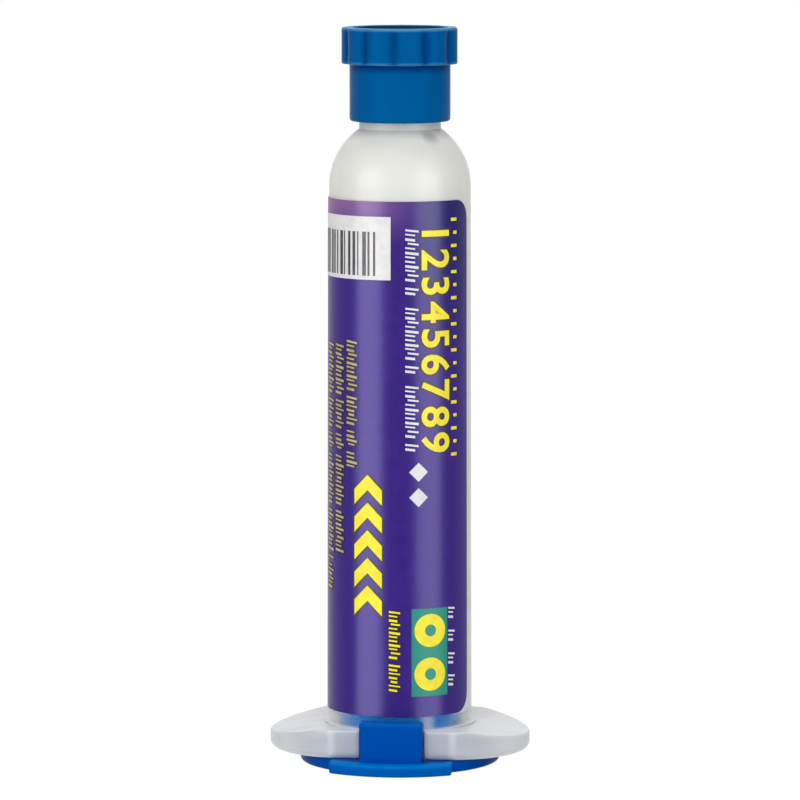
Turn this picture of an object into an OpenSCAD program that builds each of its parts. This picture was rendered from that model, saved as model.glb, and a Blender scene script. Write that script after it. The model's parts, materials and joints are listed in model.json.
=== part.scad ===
// A 10 cc flux syringe, capped at both ends and standing on its end cap.
// All sizes are in millimetres. The axis is Z, the tip is up, the end cap's underside is at Z = 0,
// and the finger flange is longest along X. Angles on the label run from -Y towards +X.

/* [Barrel] */
// Inside diameter of the bore
bore_d = 15.9; // [14:0.1:18]
// Wall of the tube at the dome, and of the dome
tube_wall = 1.0; // [0.8:0.05:1.6]
// Extra wall at the flange end, left by the mould's draft
draft = 0.17; // [0.05:0.01:0.4]
// Length of the straight tube, from the flange's underside to the dome
tube_h = 71.5; // [60:0.1:90]
// Width of the bevel that leads into the bore
mouth_bevel = 0.4; // [0.2:0.1:0.8]

/* [Nose and collar] */
// Outside diameter of the collar
collar_d = 10.3; // [9.5:0.1:11]
// Inside diameter of the collar
collar_bore_d = 7.9; // [7.4:0.1:8.4]
// Height of the collar above the dome's top
collar_h = 4.65; // [3.5:0.05:6]
// Diameter of the nose at its end
nose_d = 3.95; // [3.6:0.05:4.2]
// Growth of the nose's diameter for each millimetre of length
nose_taper = 0.06; // [0.04:0.01:0.08]
// Length of nose that stands out of the collar
nose_out = 2.1; // [1.5:0.1:3]
// Diameter of the passage through the nose
passage_d = 2.3; // [1.6:0.1:2.6]

/* [Finger flange] */
// Overall width across the two finger rests
flange_span = 33.1; // [30:0.1:38]
// Radius of the rounded ends
flange_end_r = 10.4; // [10.2:0.1:12]
// Depth by which the two flats are cut into the rounded ends
flat_cut = 0.12; // [0.05:0.01:0.3]
// Thickness where the flange meets the tube
flange_root_h = 3.6; // [3:0.1:4.5]
// Thickness at the tips of the finger rests
flange_tip_h = 2.3; // [1.5:0.1:2.8]
// Radius of the flange's lower edge
flange_edge_r = 1.0; // [0.3:0.1:1.3]
// Radius of the fillet between the flange and the tube
flange_fillet_r = 0.6; // [0.3:0.1:0.7]

/* [Tip cap] */
// Diameter over the lobes of the grip band
band_d = 14.7; // [14.2:0.1:17]
// Height of the grip band
band_h = 4.6; // [4.2:0.1:6]
// Number of lobes round the band
lobes = 11; // [8:1:16]
// Depth of the creases between the lobes
crease_depth = 0.5; // [0.2:0.05:0.6]
// Diameter of the skirt
skirt_d = 12.7; // [12.4:0.1:14]
// Length of the skirt below the band
skirt_h = 7.2; // [6:0.1:7.4]
// Radius of the skirt's lower edge
skirt_edge_r = 0.4; // [0.2:0.1:0.6]
// Diameter of the recess in the top
recess_d = 11.8; // [9:0.1:12.4]
// Depth of the recess in the top
recess_depth = 2.4; // [1:0.1:2.8]
// Radius of the top rim's outer edge
rim_r = 0.4; // [0.2:0.1:0.6]
// Thickness of the web across the cap
web_h = 1.5; // [1:0.1:2]
// Outside diameter of the hub that seals on the nose
hub_d = 6.4; // [6:0.1:6.8]
// Length of the hub below the web
hub_h = 6.5; // [5:0.1:6.8]
// Height of the two lugs on the hub
lug_h = 1.2; // [0.8:0.1:2]
// Width of the two lugs
lug_w = 2.6; // [1.6:0.1:4]

/* [End cap] */
// Diameter of the plate under the finger rests
plate_d = 25.3; // [23:0.1:27]
// Thickness of the plate
plate_h = 1.5; // [1.2:0.1:2.5]
// Radius of the front and back pads
pad_r = 14.4; // [13.5:0.1:16]
// Width of the front and back pads
pad_w = 15.4; // [12:0.1:17]
// Radius of the plate's edges
plate_edge_r = 0.35; // [0.2:0.05:0.5]
// Width of each tab
tab_w = 7.9; // [6:0.1:9]
// Distance from the axis to a tab's outer face
tab_reach = 12.2; // [11.8:0.1:13]
// Height of the tabs above the plate
tab_h = 4.9; // [4:0.1:6]
// Radius of the tabs' upper edges
tab_edge_r = 0.3; // [0.2:0.1:0.8]
// Length of the plug above the plate
plug_h = 6.7; // [5.5:0.1:8]
// Wall of the hollow plug
plug_wall = 1.2; // [0.9:0.1:2]
// Height of the plug's sealing bead
bead_h = 1.0; // [0.6:0.1:1.6]

/* [Piston] */
// Length from the rear lip to the foot of the cone
piston_h = 10.5; // [9:0.5:14]
// Height of the cone in front
cone_h = 2.2; // [1:0.1:4]
// Height of each wiping lip
lip_h = 2.2; // [1.5:0.1:3]
// Depth of the waist between the lips
waist_depth = 0.6; // [0.3:0.1:1]
// Wall of the hollow piston
piston_wall = 1.3; // [1:0.1:2]
// Space between the end cap's plug and the piston at rest
air_gap = 6.6; // [5:0.1:12]

/* [Filling] */
// Height of the air pocket over the flux, below the dome's inner top
air_pocket = 2.2; // [1:0.1:4]

/* [Label] */
// Length of the label round the tube
label_w = 50; // [42:0.5:52]
// Height of the label
label_h = 64.9; // [60:0.1:66]
// Height of the label's lower edge above the flange's underside
label_low = 5.3; // [4.9:0.1:6]
// Angle of the label's right end
label_right = 72.5; // [60:0.5:90]
// Thickness of the label
label_t = 0.15; // [0.08:0.01:0.2]
// Radius of the label's corners
label_corner_r = 2.5; // [1:0.1:4]
// Thickness of the printed colours
print_t = 0.08; // [0.04:0.01:0.12]

/* [Print] */
// Distance from one whole line of the scale to the next
scale_step = 3.28; // [2.8:0.01:3.5]
// Number of steps on the scale
scale_steps = 9; // [5:1:9]
// Height of the scale's lowest line above the label's lower edge
scale_rise = 33; // [31:0.1:33.2]
// Angle of the scale's right side
scale_right = 56.5; // [52:0.5:64]
// Length of a whole line round the tube
long_line = 1; // [0.8:0.1:2]
// Length of a half step's line round the tube
short_line = 0.6; // [0.3:0.1:0.8]
// Thickness of the scale's lines
line_w = 0.4; // [0.3:0.05:0.8]
// Angle of the dashed rule beside the scale
rule_angle = 15.3; // [8:0.1:20]
// Thickness of the dashed rule
rule_w = 1.2; // [0.4:0.1:1.5]
// Length of one dash and its gap
dash_step = 9.8; // [3:0.1:12]
// Length of the gap after a dash
dash_gap = 0.9; // [0.6:0.1:2]
// Number of white diamonds below the rule
diamonds = 2; // [1:1:3]
// Width and height of a diamond
diamond_w = 2.4; // [1.5:0.1:3]
// Distance from one diamond to the next
diamond_step = 3.2; // [3.1:0.1:4]
// Angle of the diamonds' middle
diamond_angle = 20.6; // [16:0.1:26]
// Gap between the rule's lower end and the upper diamond
diamond_drop = 0.8; // [0.4:0.1:3]
// Height of the white panel
panel_h = 7.9; // [6:0.1:10]
// Width of the white panel round the tube
panel_w = 13.5; // [8:0.1:15]
// Angle of the white panel's right side
panel_right = -1.5; // [-6:0.5:4]
// Drop from the label's upper edge to the white panel
panel_drop = 1.9; // [1:0.1:4]
// Number of dark bars on the white panel
bars = 14; // [6:1:20]
// Plain margin to the left and right of the bars
bars_margin = 1.5; // [0.5:0.1:2]
// Plain strip over the bars
bars_drop = 1.9; // [0.5:0.1:3]
// Plain strip under the bars
bars_rise = 0.5; // [0.3:0.1:1.5]
// Height of the teal block
block_h = 11.1; // [9.5:0.1:12]
// Width of the teal block round the tube
block_w = 4.9; // [4.5:0.1:6]
// Angle of the teal block's middle
block_angle = 30.4; // [24:0.1:34]
// Rise from the label's lower edge to the teal block
block_rise = 2.6; // [1:0.1:4]
// Number of yellow rings on the teal block
rings = 2; // [1:1:2]
// Outside diameter of a yellow ring
ring_d = 4.2; // [3:0.1:4.4]
// Inside diameter of a yellow ring
ring_bore_d = 1.5; // [1:0.1:2.5]
// Number of arrowheads that point to the tip
arrows = 5; // [1:1:5]
// Distance from one arrowhead to the next
arrow_step = 3.5; // [3.2:0.1:5]
// Width and height of an arrowhead
arrow_w = 3.8; // [3:0.1:5]
// Angle of the arrowheads' middle
arrow_angle = -20.3; // [-30:0.1:-12]
// Rise from the label's lower edge to the lowest arrowhead
arrow_rise = 12.8; // [8:0.1:20]

/* [Fits] */
// Clearance of the cap's skirt round the collar
skirt_fit = 0.25; // [0.1:0.05:0.4]
// Clearance of the cap's hub on the tapered nose
nose_fit = 0.08; // [0.05:0.01:0.15]
// Clearance of the lugs inside the collar
lug_fit = 0.2; // [0.1:0.05:0.3]
// Clearance of the nose's end below the cap's web
nose_end_gap = 0.45; // [0.3:0.05:0.8]
// Clearance of the plug's bead in the bore
plug_fit = 0.08; // [0.05:0.01:0.15]
// Clearance of the plug's wall in the bore
plug_ease = 0.25; // [0.2:0.05:0.4]
// Clearance of the piston's lips in the bore
piston_fit = 0.1; // [0.05:0.01:0.2]
// Clearance round the flux
flux_fit = 0.08; // [0.05:0.01:0.15]
// Clearance of a tab in its notch of the flange
tab_fit = 0.2; // [0.15:0.05:0.3]
// Tube wall kept behind each notch, outside the tube's own radius
notch_skin = 0.12; // [0.1:0.01:0.2]
// Thickness of the glue under the label
glue_t = 0.02; // [0.01:0.01:0.03]
// Clearance under each printed colour
ink_fit = 0.01; // [0.005:0.005:0.02]

/* [Hidden] */
$fn = 96;
cut = 1;
bore_r = bore_d / 2;
dome_r = bore_r + tube_wall;
mouth_z = plate_h;
dome_z = mouth_z + tube_h;
dome_top_z = dome_z + dome_r;
flat_y = flange_end_r - flat_cut;
collar_top_z = dome_top_z + collar_h;
nose_top_z = collar_top_z + nose_out;
nose_base_z = dome_z + bore_r;
web_z = nose_top_z + nose_end_gap;
recess_z = web_z + web_h;
cap_top_z = recess_z + recess_depth;
band_z = cap_top_z - band_h;
skirt_z = band_z - skirt_h;
hub_z = web_z - hub_h;
tube_r_mouth = dome_r + draft;
notch_y = tube_r_mouth + notch_skin;
tab_in_y = notch_y + tab_fit;
plug_top_z = mouth_z + plug_h;
piston_z = plug_top_z + air_gap;
cone_z = piston_z + piston_h;
lip_r = bore_r - piston_fit;
flux_r = bore_r - flux_fit;
label_z = mouth_z + label_low;
label_top_z = label_z + label_h;
label_arc = turn_of(label_w);
scale_z = label_z + scale_rise;
scale_h = scale_step * scale_steps;
panel_z = label_top_z - panel_drop - panel_h;
block_z = label_z + block_rise;
arrow_z = label_z + arrow_rise;
diamond_z = scale_z - diamond_drop;

// Outside radius of the tube at height z, which grows towards the flange
function tube_r(z) = dome_r + draft * (dome_z - z) / tube_h;

// Outside radius of the nose at height z
function nose_r(z) = (nose_d + nose_taper * (nose_top_z - z)) / 2;

// Angle taken by a length round the tube
function turn_of(length) = length / tube_r_mouth * 180 / PI;

// Distance from the axis to the centres of the lobes, so that neighbours meet crease_depth
// below the band's outside
function lobe_centre(r, crease, half) =
    (r * r - crease * crease) / (2 * (r - crease * cos(half)));

// The right half of a disc or a plate's section, with its lower and upper outer corners rounded
module round_section(r, h, low_r, top_r) {
    difference() {
        square([r, h]);
        translate([r - low_r, 0]) corner_waste(low_r, -1);
        translate([r - top_r, h]) corner_waste(top_r, 1);
    }
}

// What a rounding takes off a corner; side is 1 for an upper corner and -1 for a lower one
module corner_waste(r, side) {
    difference() {
        translate([0, side > 0 ? -r : -cut]) square([r + cut, r + cut]);
        translate([0, -side * r]) circle(r);
    }
}

// A ring or disc section swept right round the axis
module turned() {
    rotate_extrude() children();
}

// Tube and dome, outside, before the bore is taken out
module tube_outside() {
    translate([0, 0, mouth_z])
        cylinder(h = tube_h, r1 = tube_r_mouth, r2 = dome_r);
    translate([0, 0, dome_z]) sphere(dome_r);
}

// Bore with its domed end, and the bevel at its mouth
module bore() {
    translate([0, 0, mouth_z - cut]) cylinder(h = tube_h + cut, r = bore_r);
    translate([0, 0, dome_z]) sphere(bore_r);
    translate([0, 0, mouth_z - mouth_bevel])
        cylinder(h = 2 * mouth_bevel, r1 = bore_r + 2 * mouth_bevel, r2 = bore_r);
}

// One finger rest's rounded end, turned about its own centre
module flange_end(side) {
    translate([side * (flange_span / 2 - flange_end_r), 0, mouth_z])
        turned() round_section(flange_end_r, flange_root_h + cut, flange_edge_r, 0);
}

// Rounding along the lower edge of one flat
module flat_edge_waste(side) {
    translate([-flange_span / 2, side * (flat_y - flange_edge_r), mouth_z])
        rotate([90, 0, 90]) linear_extrude(flange_span)
            mirror([side > 0 ? 0 : 1, 0]) corner_waste(flange_edge_r, -1);
}

// Space round one tab of the end cap
module tab_notch(side) {
    width = tab_w + 2 * tab_fit;
    translate([-width / 2, side > 0 ? notch_y : -notch_y - flange_end_r, mouth_z - cut])
        cube([width, flange_end_r, flange_root_h + 2 * cut]);
}

// Space under the flange's upper side, which is level beside the tube and slopes to the tips
module flange_top_limit() {
    tip_x = flange_span / 2;
    level_x = tube_r_mouth + flange_fillet_r;
    slope = (flange_root_h - flange_tip_h) / (tip_x - level_x);
    far_x = tip_x + cut;
    translate([0, flange_end_r, mouth_z]) rotate([90, 0, 0]) linear_extrude(2 * flange_end_r)
        polygon([
            [-far_x, -cut],
            [far_x, -cut],
            [far_x, flange_tip_h - slope * cut],
            [level_x, flange_root_h],
            [-level_x, flange_root_h],
            [-far_x, flange_tip_h - slope * cut]
        ]);
}

module flange() {
    straight = flange_span - 2 * flange_end_r;
    difference() {
        intersection() {
            union() {
                flange_end(-1);
                flange_end(1);
                translate([-straight / 2, -flange_end_r, mouth_z])
                    cube([straight, 2 * flange_end_r, flange_root_h + cut]);
            }
            translate([-flange_span, -flat_y, 0])
                cube([2 * flange_span, 2 * flat_y, mouth_z + flange_root_h + cut]);
            flange_top_limit();
        }
        flat_edge_waste(-1);
        flat_edge_waste(1);
        tab_notch(-1);
        tab_notch(1);
    }
}

// Fillet between the flange's upper side and the tube
module flange_fillet() {
    foot_z = mouth_z + flange_root_h;
    difference() {
        turned() difference() {
            translate([bore_r + tube_wall / 2, foot_z - flange_fillet_r])
                square([tube_r_mouth + flange_fillet_r - bore_r - tube_wall / 2, 2 * flange_fillet_r]);
            translate([tube_r_mouth + flange_fillet_r, foot_z + flange_fillet_r])
                circle(flange_fillet_r);
        }
        tab_notch(-1);
        tab_notch(1);
    }
}

// Nose and collar at the tip
module tip_outside() {
    translate([0, 0, nose_base_z])
        cylinder(h = nose_top_z - nose_base_z, r1 = nose_r(nose_base_z), r2 = nose_d / 2);
    difference() {
        translate([0, 0, dome_z]) cylinder(h = collar_top_z - dome_z, d = collar_d);
        translate([0, 0, dome_z]) sphere(dome_r - tube_wall / 2);
        translate([0, 0, dome_z]) cylinder(h = collar_top_z, d = collar_bore_d);
    }
}

module barrel() {
    color("gainsboro", 0.6) difference() {
        union() {
            tube_outside();
            tip_outside();
            flange();
            flange_fillet();
        }
        bore();
        translate([0, 0, dome_z]) cylinder(h = nose_top_z, d = passage_d);
    }
}

// Outline of the grip band: lobes that meet in creases
module band_outline() {
    r = band_d / 2;
    centre = lobe_centre(r, r - crease_depth, 180 / lobes);
    circle(centre);
    for (i = [0 : lobes - 1])
        rotate(i * 360 / lobes + 90) translate([centre, 0]) circle(r - centre);
}

module cap_outside() {
    intersection() {
        translate([0, 0, band_z]) linear_extrude(band_h) band_outline();
        translate([0, 0, band_z]) turned() round_section(band_d / 2, band_h, rim_r / 2, rim_r);
    }
    translate([0, 0, skirt_z]) turned() round_section(skirt_d / 2, skirt_h + cut, skirt_edge_r, 0);
}

// Tapered socket that fits the nose
module nose_socket() {
    low_r = nose_r(hub_z - cut) + nose_fit;
    translate([0, 0, hub_z - cut])
        cylinder(h = web_z - hub_z + cut, r1 = low_r, r2 = nose_r(web_z) + nose_fit);
}

module hub() {
    difference() {
        union() {
            translate([0, 0, hub_z]) cylinder(h = web_z - hub_z, d = hub_d);
            intersection() {
                translate([0, 0, hub_z]) cylinder(h = lug_h, r = collar_bore_d / 2 - lug_fit);
                translate([-collar_bore_d, -lug_w / 2, hub_z]) cube([2 * collar_bore_d, lug_w, lug_h]);
            }
        }
        nose_socket();
    }
}

module tip_cap() {
    color([0, 0.35, 0.59]) {
        difference() {
            cap_outside();
            translate([0, 0, recess_z]) cylinder(h = recess_depth + cut, d = recess_d);
            translate([0, 0, skirt_z - cut])
                cylinder(h = web_z - skirt_z + cut, d = collar_d + 2 * skirt_fit);
        }
        hub();
    }
}

// Plate and pads, seen from below, with rounded edges
module end_plate() {
    turned() round_section(plate_d / 2, plate_h, plate_edge_r, plate_edge_r);
    intersection() {
        turned() round_section(pad_r, plate_h, plate_edge_r, plate_edge_r);
        translate([-pad_w / 2, -pad_r, 0]) cube([pad_w, 2 * pad_r, plate_h]);
    }
}

// Tab section in the plane across it, with its upper outer edge rounded
module tab(side) {
    depth = tab_reach - tab_in_y;
    mirror([0, side > 0 ? 0 : 1, 0])
        translate([-tab_w / 2, tab_in_y, plate_h / 2])
            rotate([90, 0, 90]) linear_extrude(tab_w)
                round_section(depth, plate_h / 2 + tab_h, 0, tab_edge_r);
}

// Outside of the plug: a tapered lead and one sealing bead
module plug_section() {
    wall_r = bore_r - plug_ease;
    bead_r = bore_r - plug_fit;
    bead_z = plug_top_z - plug_wall - bead_h;
    polygon([
        [0, mouth_z / 2],
        [wall_r, mouth_z / 2],
        [wall_r, bead_z - bead_h / 2],
        [bead_r, bead_z],
        [bead_r, bead_z + bead_h / 2],
        [wall_r, bead_z + bead_h],
        [wall_r - plug_wall / 2, plug_top_z],
        [0, plug_top_z]
    ]);
}

module end_cap() {
    color([0, 0.31, 0.66]) difference() {
        union() {
            end_plate();
            tab(-1);
            tab(1);
            turned() plug_section();
        }
        translate([0, 0, -cut])
            cylinder(h = plug_top_z - plug_wall + cut, r = bore_r - plug_ease - plug_wall);
    }
}

// Right half of the piston's outside: rear lip, waist, front lip and cone
module piston_section() {
    waist_r = lip_r - waist_depth;
    polygon([
        [0, 0],
        [lip_r - waist_depth / 2, 0],
        [lip_r, lip_h / 3],
        [lip_r, lip_h * 2 / 3],
        [waist_r, lip_h],
        [waist_r, piston_h - lip_h],
        [lip_r, piston_h - lip_h * 2 / 3],
        [lip_r, piston_h - lip_h / 4],
        [lip_r - waist_depth, piston_h],
        [0, piston_h + cone_h]
    ]);
}

module piston() {
    hollow_r = lip_r - waist_depth - piston_wall;
    roof = piston_h - piston_wall;
    color("white") translate([0, 0, piston_z]) turned() difference() {
        piston_section();
        polygon([
            [0, -cut],
            [hollow_r, -cut],
            [hollow_r, roof],
            [0, roof + cone_h * hollow_r / lip_r]
        ]);
    }
}

module flux_paste() {
    fill_z = dome_z + bore_r - air_pocket;
    foot_z = cone_z + flux_fit;
    color([0.87, 0.82, 0.62]) turned() intersection() {
        union() {
            polygon([
                [0, foot_z + cone_h],
                [lip_r - waist_depth, foot_z],
                [flux_r, foot_z],
                [flux_r, dome_z],
                [0, dome_z]
            ]);
            difference() {
                translate([0, dome_z]) circle(flux_r);
                translate([-dome_r, dome_z - dome_r - cut / 2])
                    square([2 * dome_r, dome_r]);
            }
        }
        translate([0, cone_z]) square([bore_r, fill_z - cone_z]);
    }
}

// Part of a thin sleeve on the tube, from angle a0 to a1 and height z0 to z1, that starts
// off above the tube's own surface
module sleeve(a0, a1, z0, z1, off, thick) {
    rotate(a0 - 90) rotate_extrude(angle = a1 - a0) polygon([
        [tube_r(z0) + off, z0],
        [tube_r(z0) + off + thick, z0],
        [tube_r(z1) + off + thick, z1],
        [tube_r(z1) + off, z1]
    ]);
}

// What the rounding takes off one corner of the label
module label_corner_waste(side, top) {
    z = top ? label_top_z - label_corner_r : label_z + label_corner_r;
    turn = asin(label_corner_r / tube_r(z));
    a = side > 0 ? label_right - turn : label_right - label_arc + turn;
    rotate(a - 90) translate([0, 0, z]) rotate([90, 0, 90])
        linear_extrude(dome_r + tube_wall + cut) difference() {
            mirror([side > 0 ? 0 : 1, 0]) mirror([0, top ? 0 : 1])
                square([label_corner_r + cut, label_corner_r + cut]);
            circle(label_corner_r);
        }
}

module label() {
    color([0.22, 0.15, 0.49]) difference() {
        sleeve(label_right - label_arc, label_right, label_z, label_top_z, glue_t, label_t);
        for (side = [-1, 1]) for (top = [false, true]) label_corner_waste(side, top);
    }
}

// One printed field of colour; layer is 0 for ink on the label and 1 for ink on ink
module printed(a0, a1, z0, z1, layer = 0) {
    off = glue_t + label_t + ink_fit + layer * (print_t + ink_fit);
    sleeve(a0, a1, z0, z1, off, print_t);
}

// One line across the scale, whose right end is at the scale's right side
module scale_line(z, length) {
    printed(scale_right - turn_of(length), scale_right, z - line_w / 2, z + line_w / 2);
}

// A printed shape cut to its children's outline, which lies in the plane that faces angle a
module printed_shape(a, width, z0, z1, layer = 0) {
    half = turn_of(width);
    intersection() {
        printed(a - half, a + half, z0, z1, layer);
        rotate(a - 90) translate([0, 0, z0]) rotate([90, 0, 90])
            linear_extrude(2 * dome_r) children();
    }
}

// One arrowhead that stands on zero and points up
module arrowhead() {
    half = arrow_w / 2;
    polygon([[-half, 0], [0, half], [half, 0], [half, half], [0, arrow_w], [-half, half]]);
}

// One diamond that hangs below zero
module diamond() {
    half = diamond_w / 2;
    polygon([[0, 0], [half, -half], [0, -diamond_w], [-half, -half]]);
}

module print_white() {
    half = turn_of(rule_w) / 2;
    color("white") {
        printed(panel_right - turn_of(panel_w), panel_right, panel_z, panel_z + panel_h);
        for (z = [scale_z : dash_step : scale_z + scale_h - dash_step])
            printed(rule_angle - half, rule_angle + half, z, z + dash_step - dash_gap);
        for (i = [0 : diamonds - 1])
            printed_shape(diamond_angle, diamond_w, diamond_z - i * diamond_step - diamond_w,
                          diamond_z - i * diamond_step)
                translate([0, diamond_w]) diamond();
    }
}

// Plain bars of uneven width on the white panel
module print_black() {
    margin = turn_of(bars_margin);
    bar_step = (turn_of(panel_w) - 2 * margin) / bars;
    left = panel_right - turn_of(panel_w) + margin;
    color("dimgray")
        for (i = [0 : bars - 1])
            printed(left + i * bar_step, left + (i + 0.45 + 0.25 * sin(i * 137)) * bar_step,
                    panel_z + bars_rise, panel_z + panel_h - bars_drop, 1);
}

module print_yellow() {
    color([0.94, 0.89, 0.16]) {
        for (i = [0 : scale_steps]) scale_line(scale_z + i * scale_step, long_line);
        for (i = [0 : scale_steps - 1]) scale_line(scale_z + (i + 0.5) * scale_step, short_line);
        for (i = [0 : arrows - 1])
            printed_shape(arrow_angle, arrow_w, arrow_z + i * arrow_step,
                          arrow_z + i * arrow_step + arrow_w)
                arrowhead();
        for (i = [0 : rings - 1])
            printed_shape(block_angle, ring_d, block_z, block_z + block_h, 1)
                translate([0, (i + 0.5) * block_h / rings]) difference() {
                    circle(d = ring_d);
                    circle(d = ring_bore_d);
                }
    }
}

module print_teal() {
    half = turn_of(block_w) / 2;
    color([0.08, 0.55, 0.47])
        printed(block_angle - half, block_angle + half, block_z, block_z + block_h);
}

barrel();
tip_cap();
end_cap();
piston();
flux_paste();
label();
print_white();
print_black();
print_yellow();
print_teal();
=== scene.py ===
"""Looks of a 10 cc flux syringe that stands on its end cap, tip up.

Sizes in the classes are millimetres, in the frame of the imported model: the axis is Z, the end cap's
underside is at zero and the finger flange is longest along X. Angles round the tube run from -Y
towards +X. Meshes are made in metres. CRISP to FULL are the radii that the mouldings' edges have,
and lengths that differ by less than CLOSE are the same.
"""

import json
import logging
import math
import sys
from collections.abc import Callable, Iterable, Mapping, Sequence
from dataclasses import dataclass
from enum import Enum
from typing import Any

import bmesh
import bpy
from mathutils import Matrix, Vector

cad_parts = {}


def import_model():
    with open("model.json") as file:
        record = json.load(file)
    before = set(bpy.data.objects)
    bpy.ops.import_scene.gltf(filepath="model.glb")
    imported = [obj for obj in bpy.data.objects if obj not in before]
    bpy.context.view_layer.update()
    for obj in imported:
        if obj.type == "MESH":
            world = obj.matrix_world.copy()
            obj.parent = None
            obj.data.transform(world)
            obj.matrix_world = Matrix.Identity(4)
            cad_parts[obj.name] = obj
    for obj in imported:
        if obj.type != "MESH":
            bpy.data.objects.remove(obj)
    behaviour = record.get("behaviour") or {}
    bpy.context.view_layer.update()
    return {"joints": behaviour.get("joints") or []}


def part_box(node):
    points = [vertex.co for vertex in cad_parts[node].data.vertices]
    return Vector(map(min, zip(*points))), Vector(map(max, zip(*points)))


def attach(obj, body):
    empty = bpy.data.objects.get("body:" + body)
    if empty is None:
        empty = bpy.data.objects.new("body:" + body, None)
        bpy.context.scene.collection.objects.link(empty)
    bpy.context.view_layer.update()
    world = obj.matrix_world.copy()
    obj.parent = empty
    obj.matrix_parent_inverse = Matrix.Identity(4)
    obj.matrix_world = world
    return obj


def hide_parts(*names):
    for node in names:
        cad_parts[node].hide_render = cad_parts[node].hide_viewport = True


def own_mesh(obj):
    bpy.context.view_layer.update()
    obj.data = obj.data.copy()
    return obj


LOG = logging.getLogger("flux_syringe")
MM = 0.001
TURN = 2 * math.pi
CLOSE = 0.001

CRISP, FINE, SLIGHT, EASED, SOFT, FULL = 0.1, 0.15, 0.2, 0.25, 0.3, 0.4

Colour = tuple[float, float, float, float]
Flat = tuple[float, float]


def srgb(red: int, green: int, blue: int) -> Colour:
    """Turn a colour in screen values into a linear one.

    Args:
        red: Red, from 0 to 255.
        green: Green, from 0 to 255.
        blue: Blue, from 0 to 255.

    Returns:
        The linear colour, opaque.
    """

    def linear(value: int) -> float:
        """Return one channel as a linear value."""
        share = value / 255
        return share / 12.92 if share <= 0.04045 else ((share + 0.055) / 1.055) ** 2.4

    return (linear(red), linear(green), linear(blue), 1.0)


class Body(Enum):
    """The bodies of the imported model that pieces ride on."""

    BARREL = "barrel"
    TIP_CAP = "tip_cap"
    END_CAP = "end_cap"
    PISTON = "piston"


class Ink(Enum):
    """The printed colours, each with its slot in the record."""

    WHITE = "white_ink"
    BLACK = "black_ink"
    YELLOW = "yellow_ink"
    CREAM = "cream_ink"
    DARK = "dark_ink"
    TEAL = "teal_ink"

    @property
    def slot(self) -> str:
        """Return the record's slot; cream is the yellow laid on thinly, and dark the black in full."""
        return {Ink.CREAM: Ink.YELLOW, Ink.DARK: Ink.BLACK}.get(self, self).value


@dataclass(frozen=True)
class Syringe:
    """Driving sizes that the pieces share, and the heights that follow from them."""

    bore_r: float = 7.95
    tube_wall: float = 1.0
    draft: float = 0.17
    tube_h: float = 71.5
    collar_r: float = 5.15
    collar_bore_r: float = 3.95
    collar_h: float = 4.65
    nose_end_r: float = 1.975
    nose_taper: float = 0.03
    nose_out: float = 2.1
    passage_r: float = 1.15
    plate_h: float = 1.5
    label_low: float = 5.3
    label_h: float = 64.9
    label_w: float = 50.0
    label_right: float = 72.5
    glue: float = 0.02
    film: float = 0.12

    @property
    def dome_r(self) -> float:
        """Outside radius of the dome."""
        return self.bore_r + self.tube_wall

    @property
    def mouth_r(self) -> float:
        """Outside radius of the tube at the flange."""
        return self.dome_r + self.draft

    @property
    def dome_z(self) -> float:
        """Height of the dome's centre."""
        return self.plate_h + self.tube_h

    @property
    def collar_z(self) -> float:
        """Height of the collar's rim."""
        return self.dome_z + self.dome_r + self.collar_h

    @property
    def nose_z(self) -> float:
        """Height of the nose's end."""
        return self.collar_z + self.nose_out

    @property
    def label_z(self) -> float:
        """Height of the label's lower edge."""
        return self.plate_h + self.label_low

    @property
    def label_top(self) -> float:
        """Height of the label's upper edge."""
        return self.label_z + self.label_h

    def tube_r(self, z: float) -> float:
        """Return the tube's outside radius at a height."""
        return self.dome_r + self.draft * (self.dome_z - z) / self.tube_h

    def nose_r(self, z: float) -> float:
        """Return the tapered nose's outside radius at a height."""
        return self.nose_end_r + self.nose_taper * (self.nose_z - z)

    def around(self, degrees: float) -> float:
        """Return the length round the tube that an angle takes."""
        return math.radians(degrees) * self.mouth_r


class Socket:
    """One value in a node tree, with the arithmetic that the finishes use."""

    def __init__(self, kit: "NodeKit", link: bpy.types.NodeSocket) -> None:
        self.kit = kit
        self.link = link

    def _math(self, operation: str, first: "Operand", second: "Operand") -> "Socket":
        """Add one Math node.

        Args:
            operation: The Math node's operation.
            first: Its first value.
            second: Its second value.

        Returns:
            The node's result.
        """
        return self.kit.node("ShaderNodeMath", {"operation": operation}, {0: first, 1: second})

    def __add__(self, other: "Operand") -> "Socket":
        """Return self plus other."""
        return self._math("ADD", self, other)

    def __radd__(self, other: float) -> "Socket":
        """Return other plus self."""
        return self._math("ADD", other, self)

    def __sub__(self, other: "Operand") -> "Socket":
        """Return self less other."""
        return self._math("SUBTRACT", self, other)

    def __rsub__(self, other: float) -> "Socket":
        """Return other less self."""
        return self._math("SUBTRACT", other, self)

    def __mul__(self, other: "Operand") -> "Socket":
        """Return self times other."""
        return self._math("MULTIPLY", self, other)

    def __rmul__(self, other: float) -> "Socket":
        """Return other times self."""
        return self._math("MULTIPLY", other, self)

    def most(self, other: "Operand") -> "Socket":
        """Return the larger of self and other."""
        return self._math("MAXIMUM", self, other)

    def step(self, low: float, high: float) -> "Socket":
        """Return a smooth step.

        Args:
            low: The value at which the step starts from 0.
            high: The value at which it reaches 1.

        Returns:
            The step, from 0 to 1.
        """
        inputs = {"Value": self, "From Min": low, "From Max": high}
        return self.kit.node("ShaderNodeMapRange", {"interpolation_type": "SMOOTHSTEP"}, inputs, "Result")


Operand = Socket | float


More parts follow.
